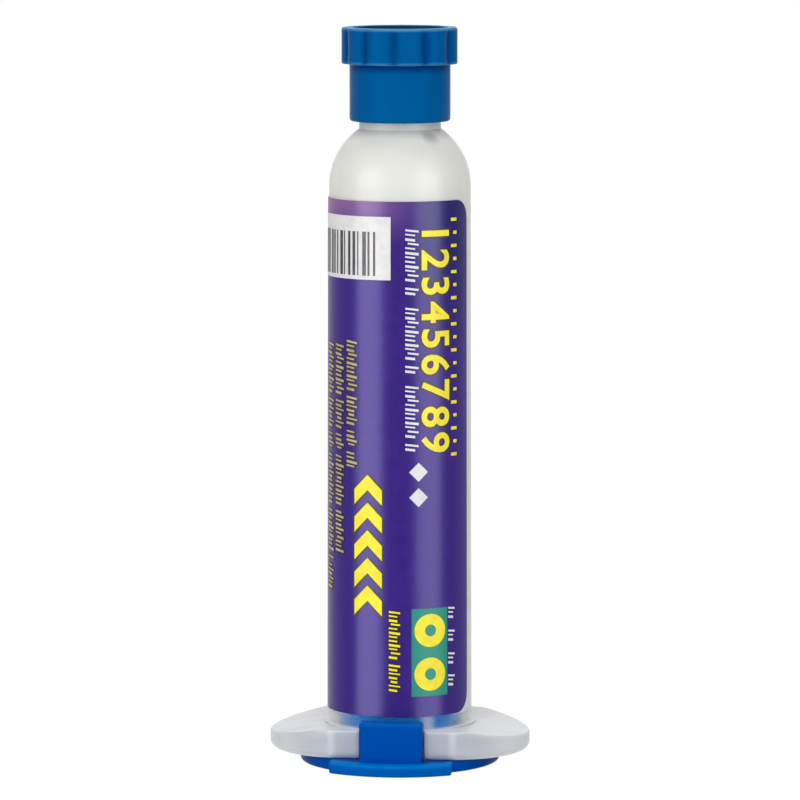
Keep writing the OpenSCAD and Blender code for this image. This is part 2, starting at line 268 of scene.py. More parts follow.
class NodeKit:
    """A node tree under construction."""

    def __init__(self, tree: bpy.types.NodeTree) -> None:
        """Start from an empty tree."""
        self.tree = tree
        tree.nodes.clear()

    def add(
        self, kind: str, settings: Mapping[str, Any] | None, inputs: Mapping[Any, Any] | None
    ) -> bpy.types.Node:
        """Add a node of any kind.

        Args:
            kind: The node's type name.
            settings: Properties that are set first.
            inputs: Values or links of its input sockets, by name or place.

        Returns:
            The node.
        """
        node = self.tree.nodes.new(kind)
        for key, value in (settings or {}).items():
            setattr(node, key, value)
        for key, value in (inputs or {}).items():
            if isinstance(value, Socket):
                self.tree.links.new(value.link, node.inputs[key])
            else:
                node.inputs[key].default_value = value
        return node

    def node(
        self,
        kind: str,
        settings: Mapping[str, Any] | None = None,
        inputs: Mapping[Any, Any] | None = None,
        output: str | int = 0,
    ) -> Socket:
        """Add a node and return one of its outputs.

        Args:
            kind: The node's type name.
            settings: Properties that are set first.
            inputs: Values or links of its input sockets, by name or place.
            output: The output socket that is wanted, by name or place.

        Returns:
            That output.
        """
        return Socket(self, self.add(kind, settings, inputs).outputs[output])

    def rays(self, *kinds: str) -> Socket:
        """Return 1 for rays of the kinds that are named, as Light Path names them, and 0 for others."""
        found = [self.node("ShaderNodeLightPath", output=f"Is {kind} Ray") for kind in kinds]
        return sum(found[1:], found[0]).step(0.0, 1.0)

    def end(self, surface: Socket, kind: str) -> None:
        """Link the last shader to an output node of a kind."""
        self.add(kind, None, {"Surface": surface})


class FinishTree(NodeKit):
    """A material under construction, with the recipes that the finishes share.

    Places and distances on the surface are in millimetres. Bumps are in metres.
    """

    def __init__(self, name: str) -> None:
        """Start an empty material.

        Args:
            name: The material's name.
        """
        self.material = bpy.data.materials.new(name)
        self.material.use_nodes = True
        super().__init__(self.material.node_tree)

    def place(self) -> Socket:
        """Return the point on the surface, in the object's own metres."""
        return self.node("ShaderNodeTexCoord", output="Object")

    def part(self, vector: Socket, axis: str) -> Socket:
        """Return one part of a vector."""
        return self.node("ShaderNodeSeparateXYZ", inputs={"Vector": vector}, output=axis)

    def length(self, vector: Socket) -> Socket:
        """Return the length of a vector of metres, in millimetres."""
        return self.node("ShaderNodeVectorMath", {"operation": "LENGTH"}, {0: vector}, "Value") * (1 / MM)

    def along(self, axis: str) -> Socket:
        """Return the place along an axis."""
        return self.part(self.place(), axis) * (1 / MM)

    def height(self) -> Socket:
        """Return the height above the syringe's foot."""
        return self.along("Z")

    def aside(self) -> Socket:
        """Return the distance from the middle plane along X."""
        x = self.along("X")
        return x.most(0 - x)

    def upward(self) -> Socket:
        """Return how far the surface faces up, from -1 to 1."""
        return self.part(self.node("ShaderNodeNewGeometry", output="Normal"), "Z")

    def radius(self) -> Socket:
        """Return the distance from the axis."""
        inputs = {"Vector": self.place(), "Scale": (1, 1, 0)}
        return self.length(self.node("ShaderNodeMapping", inputs=inputs))

    def distance(self, point: Sequence[float]) -> Socket:
        """Return the distance from a point."""
        inputs = {0: self.place(), 1: tuple(value * MM for value in point)}
        return self.length(self.node("ShaderNodeVectorMath", {"operation": "SUBTRACT"}, inputs))

    def reach(self, dome_z: float) -> Socket:
        """Return the distance from the axis up to the dome's centre, and from that centre above it.

        Args:
            dome_z: The height of the dome's centre.

        Returns:
            The distance.
        """
        x, y, z = (self.part(self.place(), axis) for axis in "XYZ")
        above = (z - dome_z * MM).most(0.0)
        return self.length(self.node("ShaderNodeCombineXYZ", inputs={"X": x, "Y": y, "Z": above}))

    def noise(self, scale: float, detail: float, stretch: Sequence[float] = (1, 1, 1)) -> Socket:
        """Return a soft noise from 0 to 1.

        Args:
            scale: Waves to a metre.
            detail: Octaves of finer noise.
            stretch: How much finer the noise runs along X, Y and Z.

        Returns:
            The noise.
        """
        where = self.node("ShaderNodeMapping", inputs={"Vector": self.place(), "Scale": tuple(stretch)})
        return self.node("ShaderNodeTexNoise", inputs={"Vector": where, "Scale": scale, "Detail": detail})

    def blend(self, share: Operand, first: Socket | Colour, second: Socket | Colour) -> Socket:
        """Mix two colours.

        Args:
            share: How much of the second shows.
            first: The colour under it.
            second: The colour over it.

        Returns:
            The mixed colour.
        """
        settings = {"data_type": "RGBA", "clamp_factor": True}
        return self.node("ShaderNodeMix", settings, {0: share, 6: first, 7: second}, output=2)

    def bump(self, height: Socket, depth: float, normal: Socket | None = None) -> Socket:
        """Raise the surface by a height map.

        Args:
            height: Heights from 0 to 1.
            depth: The height of 1, in metres.
            normal: A bumped normal to build on.

        Returns:
            The new normal.
        """
        inputs: dict[str, Any] = {"Strength": 1.0, "Distance": depth, "Height": height}
        if normal is not None:
            inputs["Normal"] = normal
        return self.node("ShaderNodeBump", inputs=inputs)

    def finish(self, **values: Any) -> bpy.types.Material:
        """End the tree with the main shader.

        Args:
            **values: Its sockets, with underscores for spaces.

        Returns:
            The finished material.
        """
        inputs = {name.replace("_", " "): value for name, value in values.items()}
        return self.close(self.node("ShaderNodeBsdfPrincipled", inputs=inputs))

    def close(self, surface: Socket) -> bpy.types.Material:
        """Link the last shader to the material's output and return the material."""
        self.end(surface, "ShaderNodeOutputMaterial")
        return self.material


@dataclass(frozen=True)
class Tone:
    """A tone laid over a finish, between limits of place.

    Each limit is the pair of places between which the tone comes in or goes out. Above and below are
    heights, outside and within are distances from the axis, and beyond and near are distances from the
    middle plane along X.
    """

    colour: Colour
    share: float = 1.0
    above: Flat | None = None
    below: Flat | None = None
    outside: Flat | None = None
    within: Flat | None = None
    beyond: Flat | None = None
    near: Flat | None = None

    def lay(self, tree: FinishTree, colour: Socket | Colour) -> Socket:
        """Lay the tone over a colour.

        Args:
            tree: The material that it belongs to.
            colour: The colour under it.

        Returns:
            The toned colour.
        """
        share: Operand = self.share
        for place, rising, falling in (
            (tree.height, self.above, self.below),
            (tree.radius, self.outside, self.within),
            (tree.aside, self.beyond, self.near),
        ):
            if rising:
                share = place().step(*rising) * share
            if falling:
                share = (1 - place().step(*falling)) * share
        return tree.blend(share, colour, self.colour)


def lay_tones(tree: FinishTree, colour: Socket | Colour, tones: Iterable[Tone]) -> Socket:
    """Lay tones over a colour, one after another.

    Args:
        tree: The material that they belong to.
        colour: The colour under them.
        tones: The tones, the lowest first.

    Returns:
        The toned colour.
    """
    for tone in tones:
        colour = tone.lay(tree, colour)
    return colour


@dataclass(frozen=True)
class MilkyPlastic:
    """Translucent moulded plastic of the barrel and flange.

    The wall's shares are how much it hides: 1 is opaque. Each pair of places is where a change begins
    and ends.
    """

    size: Syringe
    name: str = "milky_polypropylene"
    colour: Colour = srgb(236, 236, 232)
    cloud: Colour = srgb(228, 229, 226)
    # Grey of the painted shade on the upper shoulder and over the air pocket behind the wall.
    shoulder_shade: Colour = srgb(150, 151, 149)
    # Colour of the painted shade on the collar under the tip cap.
    collar: Colour = srgb(194, 199, 199)
    front: Colour = srgb(188, 192, 199)
    tips: Colour = srgb(220, 221, 223)
    # Paler colour of the painted light from below on the flange's lower part and bottom edge.
    rim: Colour = srgb(240, 241, 242)
    # Pale colour of the painted highlights at the flats' corners and of the painted light on the upper side.
    upper: Colour = srgb(244, 245, 246)
    vein: Colour = srgb(198, 200, 205)
    roughness: float = 0.24
    inside: float = 0.01
    over_plug: float = 0.005
    # How much the wall hides in the painted highlight streak over the plug.
    wall_glint: float = 0.37
    wall: float = 0.72
    flange: float = 0.84
    edge_on: float = 1.1
    outer_skin: Flat = (8.2, 8.8)
    see_in: float = 1.2
    underside: Flat = (1.6, 1.9)
    label_foot: Flat = (6.45, 6.75)
    plug_end: Flat = (6.95, 7.25)
    # Where the painted highlight streak rises and falls along X.
    wall_glint_left: Flat = (2.9, 4.3)
    wall_glint_right: Flat = (4.3, 5.7)
    # Where the painted shade of the air pocket lies, and the distances over which it fades.
    pocket_shade_at: tuple[float, float, float] = (4.1, -4.3, 79.7)
    pocket_shade_fade: Flat = (0.3, 2.1)
    shoulder: Flat = (78.6, 80.0)
    collar_foot: Flat = (80.1, 80.5)

    def make(self) -> bpy.types.Material:
        """Build the material: a cloudy wall, clear where the plug lies on it, and a greyer flange.

        Returns:
            The finished material.
        """
        tree = FinishTree(self.name)
        clouds = tree.noise(scale=60, detail=3)
        flow = tree.noise(scale=240, detail=2, stretch=(1, 1, 0.12))
        tube_r = self.size.mouth_r
        beyond_tube = tree.radius().step(tube_r, tube_r + self.see_in)
        on_flange = (1 - tree.height().step(*self.underside)).most(beyond_tube)
        outer = tree.reach(self.size.dome_z).step(*self.outer_skin)
        return tree.finish(
            Base_Color=tree.blend(on_flange, self.tube_colour(tree, clouds), self.flange_colour(tree)),
            Roughness=self.roughness + 0.1 * clouds,
            Alpha=self.inside + self.hiding(tree, clouds, on_flange) * outer,
            Specular_IOR_Level=0.17,
            Subsurface_Weight=0.35,
            Subsurface_Radius=(1.0, 1.0, 1.0),
            Subsurface_Scale=0.0012,
            Normal=tree.bump(flow, depth=0.00003),
        )

    def tube_colour(self, tree: FinishTree, clouds: Socket) -> Socket:
        """Return the tube's cloudy white, with painted shade on the upper shoulder and over the air pocket,
        and painted shade on the collar under the cap.

        Args:
            tree: The material that it belongs to.
            clouds: The wall's slow noise.

        Returns:
            The tube's colour.
        """
        tube = tree.blend(clouds.step(0.3, 0.75), self.colour, self.cloud)
        # Painted shade over the air pocket, and painted shade rising up the shoulder.
        shoulder_shade = 0.75 * (1 - tree.distance(self.pocket_shade_at).step(*self.pocket_shade_fade))
        shoulder = 0.3 * tree.height().step(*self.shoulder)
        tube = tree.blend(shoulder_shade.most(shoulder), tube, self.shoulder_shade)
        # Painted shade on the collar, above its foot.
        return Tone(self.collar, above=self.collar_foot).lay(tree, tube)

    def flange_colour(self, tree: FinishTree) -> Socket:
        """Return the flange's grey, paler at its tips, with painted light from below on its lower part and
        bottom edge, painted highlights at the flats' corners, painted light on its upper side, and faint
        veins.

        Args:
            tree: The material that it belongs to.

        Returns:
            The flange's colour.
        """
        tones = (
            Tone(self.tips, beyond=(10.5, 16.0)),
            # Painted light from below: a little over the front's lower part, and most at the bottom edge.
            Tone(self.rim, 0.25, below=(1.8, 4.6)),
            Tone(self.rim, 0.8, below=(1.6, 2.2)),
            # Painted highlights on the rounded ends beside the flats' corners.
            Tone(self.upper, 0.38, beyond=(6.8, 7.6), near=(7.7, 8.5)),
        )
        veins = tree.noise(scale=300, detail=4, stretch=(0.35, 1, 1)).step(0.45, 0.75)
        colour = tree.blend(0.4 * veins, lay_tones(tree, self.front, tones), self.vein)
        # Painted light on the faces that look up, less where the veins lie.
        return tree.blend(0.85 * tree.upward().step(0.5, 0.95) * (1 - 0.4 * veins), colour, self.upper)

    def hiding(self, tree: FinishTree, clouds: Socket, on_flange: Socket) -> Socket:
        """Return how much the plastic hides: little over the plug but for a painted highlight streak, more
        edge on, and most in the flange.

        Args:
            tree: The material that it belongs to.
            clouds: The wall's slow noise.
            on_flange: 1 on the flange and 0 on the tube.

        Returns:
            The share that is hidden, from 0 to 1.
        """
        turned_away = tree.node("ShaderNodeLayerWeight", inputs={"Blend": 0.5}, output="Facing")
        by_label = tree.height().step(*self.label_foot) * turned_away.step(0.2, 0.45)
        above_plug = tree.height().step(*self.plug_end)
        clear_of_plug = by_label.most(above_plug).most(self.edge_on * turned_away.step(0.08, 0.9))
        x = tree.along("X")
        # Painted highlight: an upright band of milky wall over the plug, right of the middle.
        wall_glint = self.wall_glint * x.step(*self.wall_glint_left) * (1 - x.step(*self.wall_glint_right))
        over_plug = wall_glint.most(self.over_plug)
        above_flange = over_plug + (self.wall + 0.06 * clouds - over_plug) * clear_of_plug
        return above_flange + (self.flange - above_flange) * on_flange


@dataclass(frozen=True)
class CapPlastic:
    """Coloured moulded plastic with a satin gloss."""

    name: str
    colour: Colour
    shade: Colour
    # Tones laid over the colour, which paint highlights, shade, a shadow, and light on the end cap's plug.
    tones: tuple[Tone, ...]
    glint: Colour = srgb(40, 170, 250)
    roughness: float = 0.28

    def make(self) -> bpy.types.Material:
        """Build the material: a fine skin, slight wear in the gloss, and the tones of painted light and shade
        that are laid over its colour.

        Returns:
            The finished material.
        """
        tree = FinishTree(self.name)
        patches = tree.noise(scale=90, detail=3)
        skin = tree.noise(scale=2600, detail=2)
        rubs = tree.noise(scale=700, detail=4, stretch=(1, 1, 0.25))
        return tree.finish(
            Base_Color=lay_tones(tree, tree.blend(0.55 * patches, self.colour, self.shade), self.tones),
            Roughness=self.roughness + 0.14 * rubs.step(0.45, 0.8),
            Specular_IOR_Level=0.02,
            Specular_Tint=self.glint,
            Normal=tree.bump(patches, 0.00004, tree.bump(skin, 0.000006)),
        )


@dataclass(frozen=True)
class PistonPlastic:
    """Matt white polyethylene."""

    name: str = "white_polyethylene"
    colour: Colour = srgb(228, 229, 226)
    shade: Colour = srgb(206, 209, 208)
    roughness: float = 0.48

    def make(self) -> bpy.types.Material:
        """Build the material: a faint mottle and a matt skin.

        Returns:
            The finished material.
        """
        tree = FinishTree(self.name)
        mottle = tree.noise(scale=180, detail=3)
        return tree.finish(
            Base_Color=tree.blend(mottle, self.colour, self.shade),
            Roughness=self.roughness + 0.12 * mottle,
            Normal=tree.bump(tree.noise(scale=1500, detail=2), 0.00001),
        )


@dataclass(frozen=True)
class FluxPaste:
    """Soft amber paste with small bubbles under the wall."""

    name: str = "flux_paste"
    colour: Colour = srgb(240, 236, 222)
    deep: Colour = srgb(228, 220, 196)
    bubble: Colour = srgb(248, 246, 238)
    roughness: float = 0.3
    bubbles: float = 420.0

    def make(self) -> bpy.types.Material:
        """Build the material: slow swirls of tone, and a scatter of pale bubbles.

        Returns:
            The finished material.
        """
        tree = FinishTree(self.name)
        swirls = tree.noise(scale=120, detail=4, stretch=(1, 1, 0.5))
        cells = tree.node("ShaderNodeTexVoronoi", inputs={"Vector": tree.place(), "Scale": self.bubbles})
        bubbles = 1 - cells.step(0.08, 0.2)
        colour = tree.blend(swirls.step(0.35, 0.75), self.colour, self.deep)
        return tree.finish(
            Base_Color=tree.blend(0.5 * bubbles, colour, self.bubble),
            Roughness=self.roughness + 0.2 * swirls,
            Subsurface_Weight=0.2,
            Subsurface_Radius=(0.003, 0.0025, 0.0015),
            Subsurface_Scale=1.0,
            Normal=tree.bump(swirls - 0.4 * bubbles, 0.0002),
        )


@dataclass(frozen=True)
class LabelFilm:
    """Printed film with a satin lacquer.

    The film's colour runs paler up to the top's left and darker up to its right, between the pairs of places.
    """

    name: str = "purple_label_film"
    colour: Colour = srgb(45, 9, 120)
    shade: Colour = srgb(39, 5, 112)
    lilac: Colour = srgb(129, 88, 146)
    deep: Colour = srgb(10, 0, 92)
    roughness: float = 0.27
    change: float = 0.95
    pale_up: Flat = (65.5, 71.8)
    pale_across: Flat = (-8.0, 7.5)
    deep_up: Flat = (50.0, 68.5)
    deep_across: Flat = (1.0, 5.5)

    def make(self) -> bpy.types.Material:
        """Build the material: print mottle, tones that change across the film, lacquer streaks and a wavy
        wall.

        Returns:
            The finished material.
        """
        tree = FinishTree(self.name)
        mottle = tree.noise(scale=700, detail=3)
        streaks = tree.noise(scale=160, detail=3, stretch=(1, 1, 0.08))
        waves = tree.noise(scale=55, detail=2, stretch=(1, 1, 0.6))
        height, x = tree.height(), tree.along("X")
        pale = height.step(*self.pale_up) * (1 - x.step(*self.pale_across))
        deep = height.step(*self.deep_up) * x.step(*self.deep_across)
        colour = tree.blend(mottle.step(0.3, 0.7), self.colour, self.shade)
        colour = tree.blend(self.change * pale, colour, self.lilac)
        return tree.finish(
            Base_Color=tree.blend(self.change * deep, colour, self.deep),
            Roughness=self.roughness + 0.08 * streaks,
            Specular_IOR_Level=0.18,
            Normal=tree.bump(waves, 0.00012, tree.bump(mottle, 0.000004)),
        )


@dataclass(frozen=True)
class PrintInk:
    """One printed colour on the film."""

    name: str
    colour: Colour
    shade: Colour
    roughness: float = 0.36

    def make(self) -> bpy.types.Material:
        """Build the material: a flat ink with a slight mottle where it lies thin.

        Returns:
            The finished material.
        """
        tree = FinishTree(self.name)
        mottle = tree.noise(scale=900, detail=3)
        return tree.finish(
            Base_Color=tree.blend(mottle.step(0.35, 0.8), self.colour, self.shade),
            Roughness=self.roughness + 0.08 * mottle,
            Specular_IOR_Level=0.2,
            Normal=tree.bump(mottle, 0.000004),
        )


@dataclass(frozen=True)
class Corner:
    """One point of a section, with the radius of the round that replaces it.

    The weight tells a loft how much of a piece's own outline the point follows.
    """

    r: float
    z: float
    round: float = 0.0
    weight: float = 0.0


def rounded_section(corners: Sequence[Corner], steps: int = 5) -> list[Corner]:
    """Round the corners of a section that have a radius.

    Args:
        corners: The section's corners, in order. The two ends stay as they are.
        steps: Segments in each arc.

    Returns:
        The section's points.
    """
    points = [corners[0]]
    for before, corner, after in zip(corners, corners[1:], corners[2:]):
        points.extend(arc_at(before, corner, after, steps) if corner.round else [corner])
    points.append(corners[-1])
    return points


def arc_at(before: Corner, corner: Corner, after: Corner, steps: int) -> list[Corner]:
    """Return the arc that rounds one corner, kept inside its two sides.

    Args:
        before: The corner before it.
        corner: The corner that is rounded.
        after: The corner after it.
        steps: Segments in the arc.

    Returns:
        The arc's points.
    """
    here = Vector((corner.r, corner.z))
    back = Vector((before.r, before.z)) - here
    ahead = Vector((after.r, after.z)) - here
    half = back.angle(ahead) / 2
    reach = min(corner.round / math.tan(half), 0.49 * back.length, 0.49 * ahead.length)
    radius = reach * math.tan(half)
    middle = here + (back.normalized() + ahead.normalized()).normalized() * (radius / math.sin(half))
    start = here + back.normalized() * reach - middle
    sweep = math.pi - 2 * half
    turn = 1 if back.x * ahead.y - back.y * ahead.x < 0 else -1
    points = []
    for step in range(steps + 1):
        angle = turn * sweep * step / steps
        x = start.x * math.cos(angle) - start.y * math.sin(angle)
        y = start.x * math.sin(angle) + start.y * math.cos(angle)
        points.append(Corner(middle.x + x, middle.y + y, 0.0, corner.weight))
    return points


def arc_points(centre: Flat, radius: float, start: float, end: float, steps: int) -> list[Corner]:
    """Return points on an arc.

    Args:
        centre: Its centre, as a distance from the axis and a height.
        radius: Its radius.
        start: Angle above the horizon of the first point, in degrees.
        end: Angle of the last point.
        steps: Segments between them.

    Returns:
        The points.
    """
    angles = [math.radians(start + (end - start) * step / steps) for step in range(steps + 1)]
    return [Corner(centre[0] + radius * math.cos(a), centre[1] + radius * math.sin(a)) for a in angles]


def even_angles(count: int) -> list[float]:
    """Return angles spaced evenly round the axis, in radians."""
    return [TURN * step / count for step in range(count)]


def spot(r: float, angle: float, z: float) -> tuple[float, float, float]:
    """Return the point in metres at a distance from the axis, an angle in radians and a height."""
    return (r * math.cos(angle) * MM, r * math.sin(angle) * MM, z * MM)


def smooth(mesh: bpy.types.Mesh, crease: float) -> None:
    """Shade a mesh smooth, but for its edges that are sharper than an angle in degrees."""
    mesh.shade_smooth()
    mesh.set_sharp_from_angle(angle=math.radians(crease))


def make_piece(name: str, mesh: bpy.types.Mesh, crease: float = 32.0) -> bpy.types.Object:
    """Put a mesh in the scene, smooth but for its sharper edges.

    Args:
        name: The piece's name.
        mesh: Its mesh, in metres.
        crease: The angle in degrees from which an edge stays sharp.

    Returns:
        The new object.
    """
    mesh.name = name
    smooth(mesh, crease)
    piece = bpy.data.objects.new(name, mesh)
    bpy.context.scene.collection.objects.link(piece)
    return piece


def mesh_from(work: bmesh.types.BMesh, name: str) -> bpy.types.Mesh:
    """Turn a finished bmesh into a mesh with outward faces and free it.

    Args:
        work: The bmesh, which is used up.
        name: The mesh's name.

    Returns:
        The mesh.
    """
    bmesh.ops.recalc_face_normals(work, faces=work.faces)
    mesh = bpy.data.meshes.new(name)
    work.to_mesh(mesh)
    work.free()
    return mesh


def loft(
    name: str,
    section: Sequence[Corner],
    angles: Sequence[float],
    outline: Callable[[float], float] | None = None,
    closed: bool = False,
) -> bpy.types.Mesh:
    """Sweep a section round the axis.

    Args:
        name: The mesh's name.
        section: The section's points; those on the axis become poles.
        angles: Angles of the rings' points, in radians.
        outline: What each angle adds to the radius of a point of weight 1.
        closed: Whether the section's last point joins its first.

    Returns:
        The mesh.
    """
    work = bmesh.new()
    extra = [outline(a) if outline else 0.0 for a in angles]
    rings: list[list[bmesh.types.BMVert]] = []
    for point in section:
        if point.r < CLOSE:
            rings.append([work.verts.new(spot(0, 0, point.z))])
            continue
        reaches = [point.r + point.weight * more for more in extra]
        rings.append([work.verts.new(spot(r, angle, point.z)) for r, angle in zip(reaches, angles)])
    pairs = list(zip(rings, rings[1:])) + ([(rings[-1], rings[0])] if closed else [])
    for low, high in pairs:
        join_rings(work, low, high)
    return mesh_from(work, name)


def join_rings(work: bmesh.types.BMesh, low: list[Any], high: list[Any]) -> None:
    """Join two rings of vertices by faces; a ring of one vertex is a pole.

    Args:
        work: The mesh that takes the faces.
        low: One ring's vertices.
        high: The other ring's vertices.
    """
    count = max(len(low), len(high))
    if count == 1:
        return
    for step in range(count):
        after = (step + 1) % count
        corners = [low[place % len(low)] for place in (step, after)]
        corners += [high[place % len(high)] for place in (after, step)]
        unique = list(dict.fromkeys(corners))
        if len(unique) > 2:
            work.faces.new(unique)


def cut_or_join(piece: bpy.types.Object, mesh: bpy.types.Mesh, operation: str) -> None:
    """Change a piece by another shape.

    Args:
        piece: The object that is changed.
        mesh: The shape that it is cut by or joined with.
        operation: DIFFERENCE or UNION.
    """
    tool = make_piece(mesh.name, mesh)
    change = piece.modifiers.new("shape", "BOOLEAN")
    change.operation = operation
    change.solver = "EXACT"
    change.object = tool
    shaped = bpy.data.meshes.new_from_object(piece.evaluated_get(bpy.context.evaluated_depsgraph_get()))
    piece.modifiers.clear()
    piece.data = shaped
    bpy.data.objects.remove(tool)


def level(first: Vector, last: Vector, axis: int, place: float) -> bool:
    """Return whether both ends of an edge lie at one place along an axis."""
    return all(abs(end[axis] - place) < CLOSE for end in (first, last))


def rounded_block(
    name: str,
    low: Sequence[float],
    high: Sequence[float],
    radius: float,
    edges: Callable[[Vector, Vector], bool],
) -> bpy.types.Mesh:
    """Make a block with some of its edges rounded.

    Args:
        name: The mesh's name.
        low: Its lowest corner.
        high: Its highest corner.
        radius: The radius of the rounds.
        edges: Whether the edge between two corners is rounded.

    Returns:
        The mesh.
    """
    work = bmesh.new()
    bmesh.ops.create_cube(work, size=1.0)
    for vertex in work.verts:
        for axis in range(3):
            vertex.co[axis] = (low[axis] if vertex.co[axis] < 0 else high[axis]) * MM
    chosen = [e for e in work.edges if edges(e.verts[0].co / MM, e.verts[1].co / MM)]
    bmesh.ops.bevel(work, geom=chosen, offset=radius * MM, segments=6, profile=0.5, affect="EDGES")
    return mesh_from(work, name)


class Piece:
    """What every sub-assembly does with its finished objects."""

    body: Body = Body.BARREL
    sharp_from: float = 30.0

    def dress(
        self, piece: bpy.types.Object, material: bpy.types.Material, slot: str, replaces: Iterable[str] = ()
    ) -> bpy.types.Object:
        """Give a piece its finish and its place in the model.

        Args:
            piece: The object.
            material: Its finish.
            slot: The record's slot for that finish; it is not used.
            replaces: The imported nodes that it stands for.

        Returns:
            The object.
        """
        piece.data.materials.clear()
        piece.data.materials.append(material)
        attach(piece, self.body.value)
        if replaces:
            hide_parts(*replaces)
        LOG.info("made %s: %d faces on %s", piece.name, len(piece.data.polygons), self.body.value)
        return piece


@dataclass
class Barrel(Piece):
    """The translucent barrel with its tip, and the lock thread inside the collar."""

    size: Syringe
    material: bpy.types.Material
    span: float = 33.1
    end_r: float = 10.4
    flat_cut: float = 0.12
    root_h: float = 3.6
    tip_h: float = 2.3
    edge_r: float = 1.0
    top_edge_r: float = 0.3
    fillet_r: float = 0.6
    lap: float = 0.2
    skin: float = 0.005
    notch_w: float = 8.3
    notch_top: float = 12.0
    notch_skin: float = 0.12
    mouth_bevel: float = 0.4
    nose_root_r: float = 2.28
    segments: int = 180
    dome_steps: int = 24
    edge_steps: int = 6
    tube_rings: tuple[float, ...] = (20.0, 35.0, 50.0, 62.0)
    bore_rings: tuple[float, ...] = (50.0, 20.0)
    thread_depth: float = 0.35
    thread_lead: float = 5.0
    thread_turns: float = 0.75
    thread_half: float = 0.45
    thread_drop: float = 0.7
    thread_root: float = 0.15
    thread_steps: int = 64
    body = Body.BARREL
    sharp_from = 28.0

    def section(self) -> list[Corner]:
        """Return the closed section of tube, dome, collar and nose.

        Returns:
            The section's points, round from the bore's mouth.
        """
        s = self.size
        foot = s.plate_h + self.root_h
        root = math.degrees(math.acos(s.collar_r / s.dome_r))
        inner_top = math.degrees(math.acos(s.passage_r / s.bore_r))
        floor = s.dome_z + math.sqrt(s.dome_r**2 - s.collar_bore_r**2)
        nose_root = s.dome_z + math.sqrt(s.dome_r**2 - self.nose_root_r**2)
        outside = [
            Corner(s.bore_r + self.mouth_bevel, s.plate_h),
            Corner(s.mouth_r - self.lap, s.plate_h),
            Corner(s.mouth_r - self.lap, foot - self.fillet_r),
            Corner(s.mouth_r + self.fillet_r - self.lap / 4, foot - self.lap / 2),
        ]
        fillet_centre = (s.mouth_r + self.fillet_r, foot + self.fillet_r - self.skin)
        fillet = arc_points(fillet_centre, self.fillet_r, 270, 180, 8)
        tube = [Corner(s.tube_r(z), z) for z in self.tube_rings]
        shoulder = arc_points((0, s.dome_z), s.dome_r, 0, root, self.dome_steps)
        tip = [
            Corner(s.collar_r, s.collar_z, EASED),
            Corner(s.collar_bore_r, s.collar_z, SLIGHT),
            Corner(s.collar_bore_r, floor + self.lap / 2, SLIGHT),
            Corner(s.nose_r(nose_root) + self.lap, nose_root - self.lap / 2, SOFT),
            Corner(s.nose_end_r, s.nose_z, FINE),
            Corner(s.passage_r, s.nose_z, CRISP),
        ]
        roof = arc_points((0, s.dome_z), s.bore_r, inner_top, 0, self.dome_steps)
        bore = [Corner(s.bore_r, z) for z in self.bore_rings]
        mouth = Corner(s.bore_r, s.plate_h + self.mouth_bevel)
        body = rounded_section([*outside, *fillet, *tube, *shoulder, *tip, roof[0]], 6)
        return [*body, *roof[1:], *bore, mouth]

    @property
    def end_x(self) -> float:
        """Distance from the axis to the centres of the flange's round ends."""
        return self.span / 2 - self.end_r

    @property
    def flat_y(self) -> float:
        """Distance from the axis to the flats."""
        return self.end_r - self.flat_cut

    def flange_edge(self, angle: float, inset: float = 0.0) -> float:
        """Return the flange's reach from the axis.

        Args:
            angle: The direction, in radians.
            inset: How far inside the outline the edge is wanted.

        Returns:
            The distance from the axis.
        """
        along, across = abs(math.cos(angle)), abs(math.sin(angle))
        radius = self.end_r - inset
        end = self.end_x * along + math.sqrt(radius**2 - (self.end_x * across) ** 2)
        flat = (self.flat_y - inset) / max(across, CLOSE)
        return min(end, flat)

    def flange_top(self, x: float) -> float:
        """Return the height of the flange's upper side, level at the tube and lower to the tips.

        Args:
            x: The distance from the middle plane along X, of either sign.

        Returns:
            The height.
        """
        level = self.size.mouth_r + self.fillet_r
        slope = (self.root_h - self.tip_h) / (self.span / 2 - level)
        return self.size.plate_h + self.root_h - slope * max(0.0, abs(x) - level)

    def flange_mesh(self) -> bpy.types.Mesh:
        """Make the flange as rings that follow its outline, with a hole inside the tube's wall.

        Returns:
            The flange's mesh.
        """
        hole = self.size.bore_r + self.size.tube_wall / 2
        corner = math.atan2(self.flat_y, self.flat_half())
        angles = sorted({*even_angles(self.segments * 2), *self.mirrored(corner)})
        low = self.size.plate_h
        work = bmesh.new()

        def ring(inset: float, height: Callable[[float], float]) -> list[bmesh.types.BMVert]:
            """Add one ring, inset from the outline, at a height that may vary along X."""
            reaches = [(self.flange_edge(angle, inset), angle) for angle in angles]
            return [work.verts.new(spot(r, angle, height(r * math.cos(angle)))) for r, angle in reaches]

        def hole_ring(height: float) -> list[bmesh.types.BMVert]:
            """Add one round ring at the hole."""
            return [work.verts.new(spot(hole, angle, height)) for angle in angles]

        rings = [hole_ring(low)]
        turns = [math.pi / 2 * step / self.edge_steps for step in range(self.edge_steps + 1)]
        for turn in turns:
            rise = low + self.edge_r * (1 - math.cos(turn))
            rings.append(ring(self.edge_r * (1 - math.sin(turn)), lambda x, z=rise: z))
        for turn in turns:
            drop = self.top_edge_r * (1 - math.sin(turn))
            inset = self.top_edge_r * (1 - math.cos(turn))
            rings.append(ring(inset, lambda x, d=drop: self.flange_top(x) - d))
        rings.append(hole_ring(self.flange_top(0)))
        for below, above in zip(rings, rings[1:] + rings[:1]):
            join_rings(work, below, above)
        return mesh_from(work, "flange")

    def flat_half(self) -> float:
        """Return half the length of a flat."""
        return self.end_x + math.sqrt(self.end_r**2 - self.flat_y**2)

    @staticmethod
    def mirrored(angle: float) -> list[float]:
        """Return an angle and its mirror images in the other three quarters."""
        return [angle, math.pi - angle, math.pi + angle, TURN - angle]

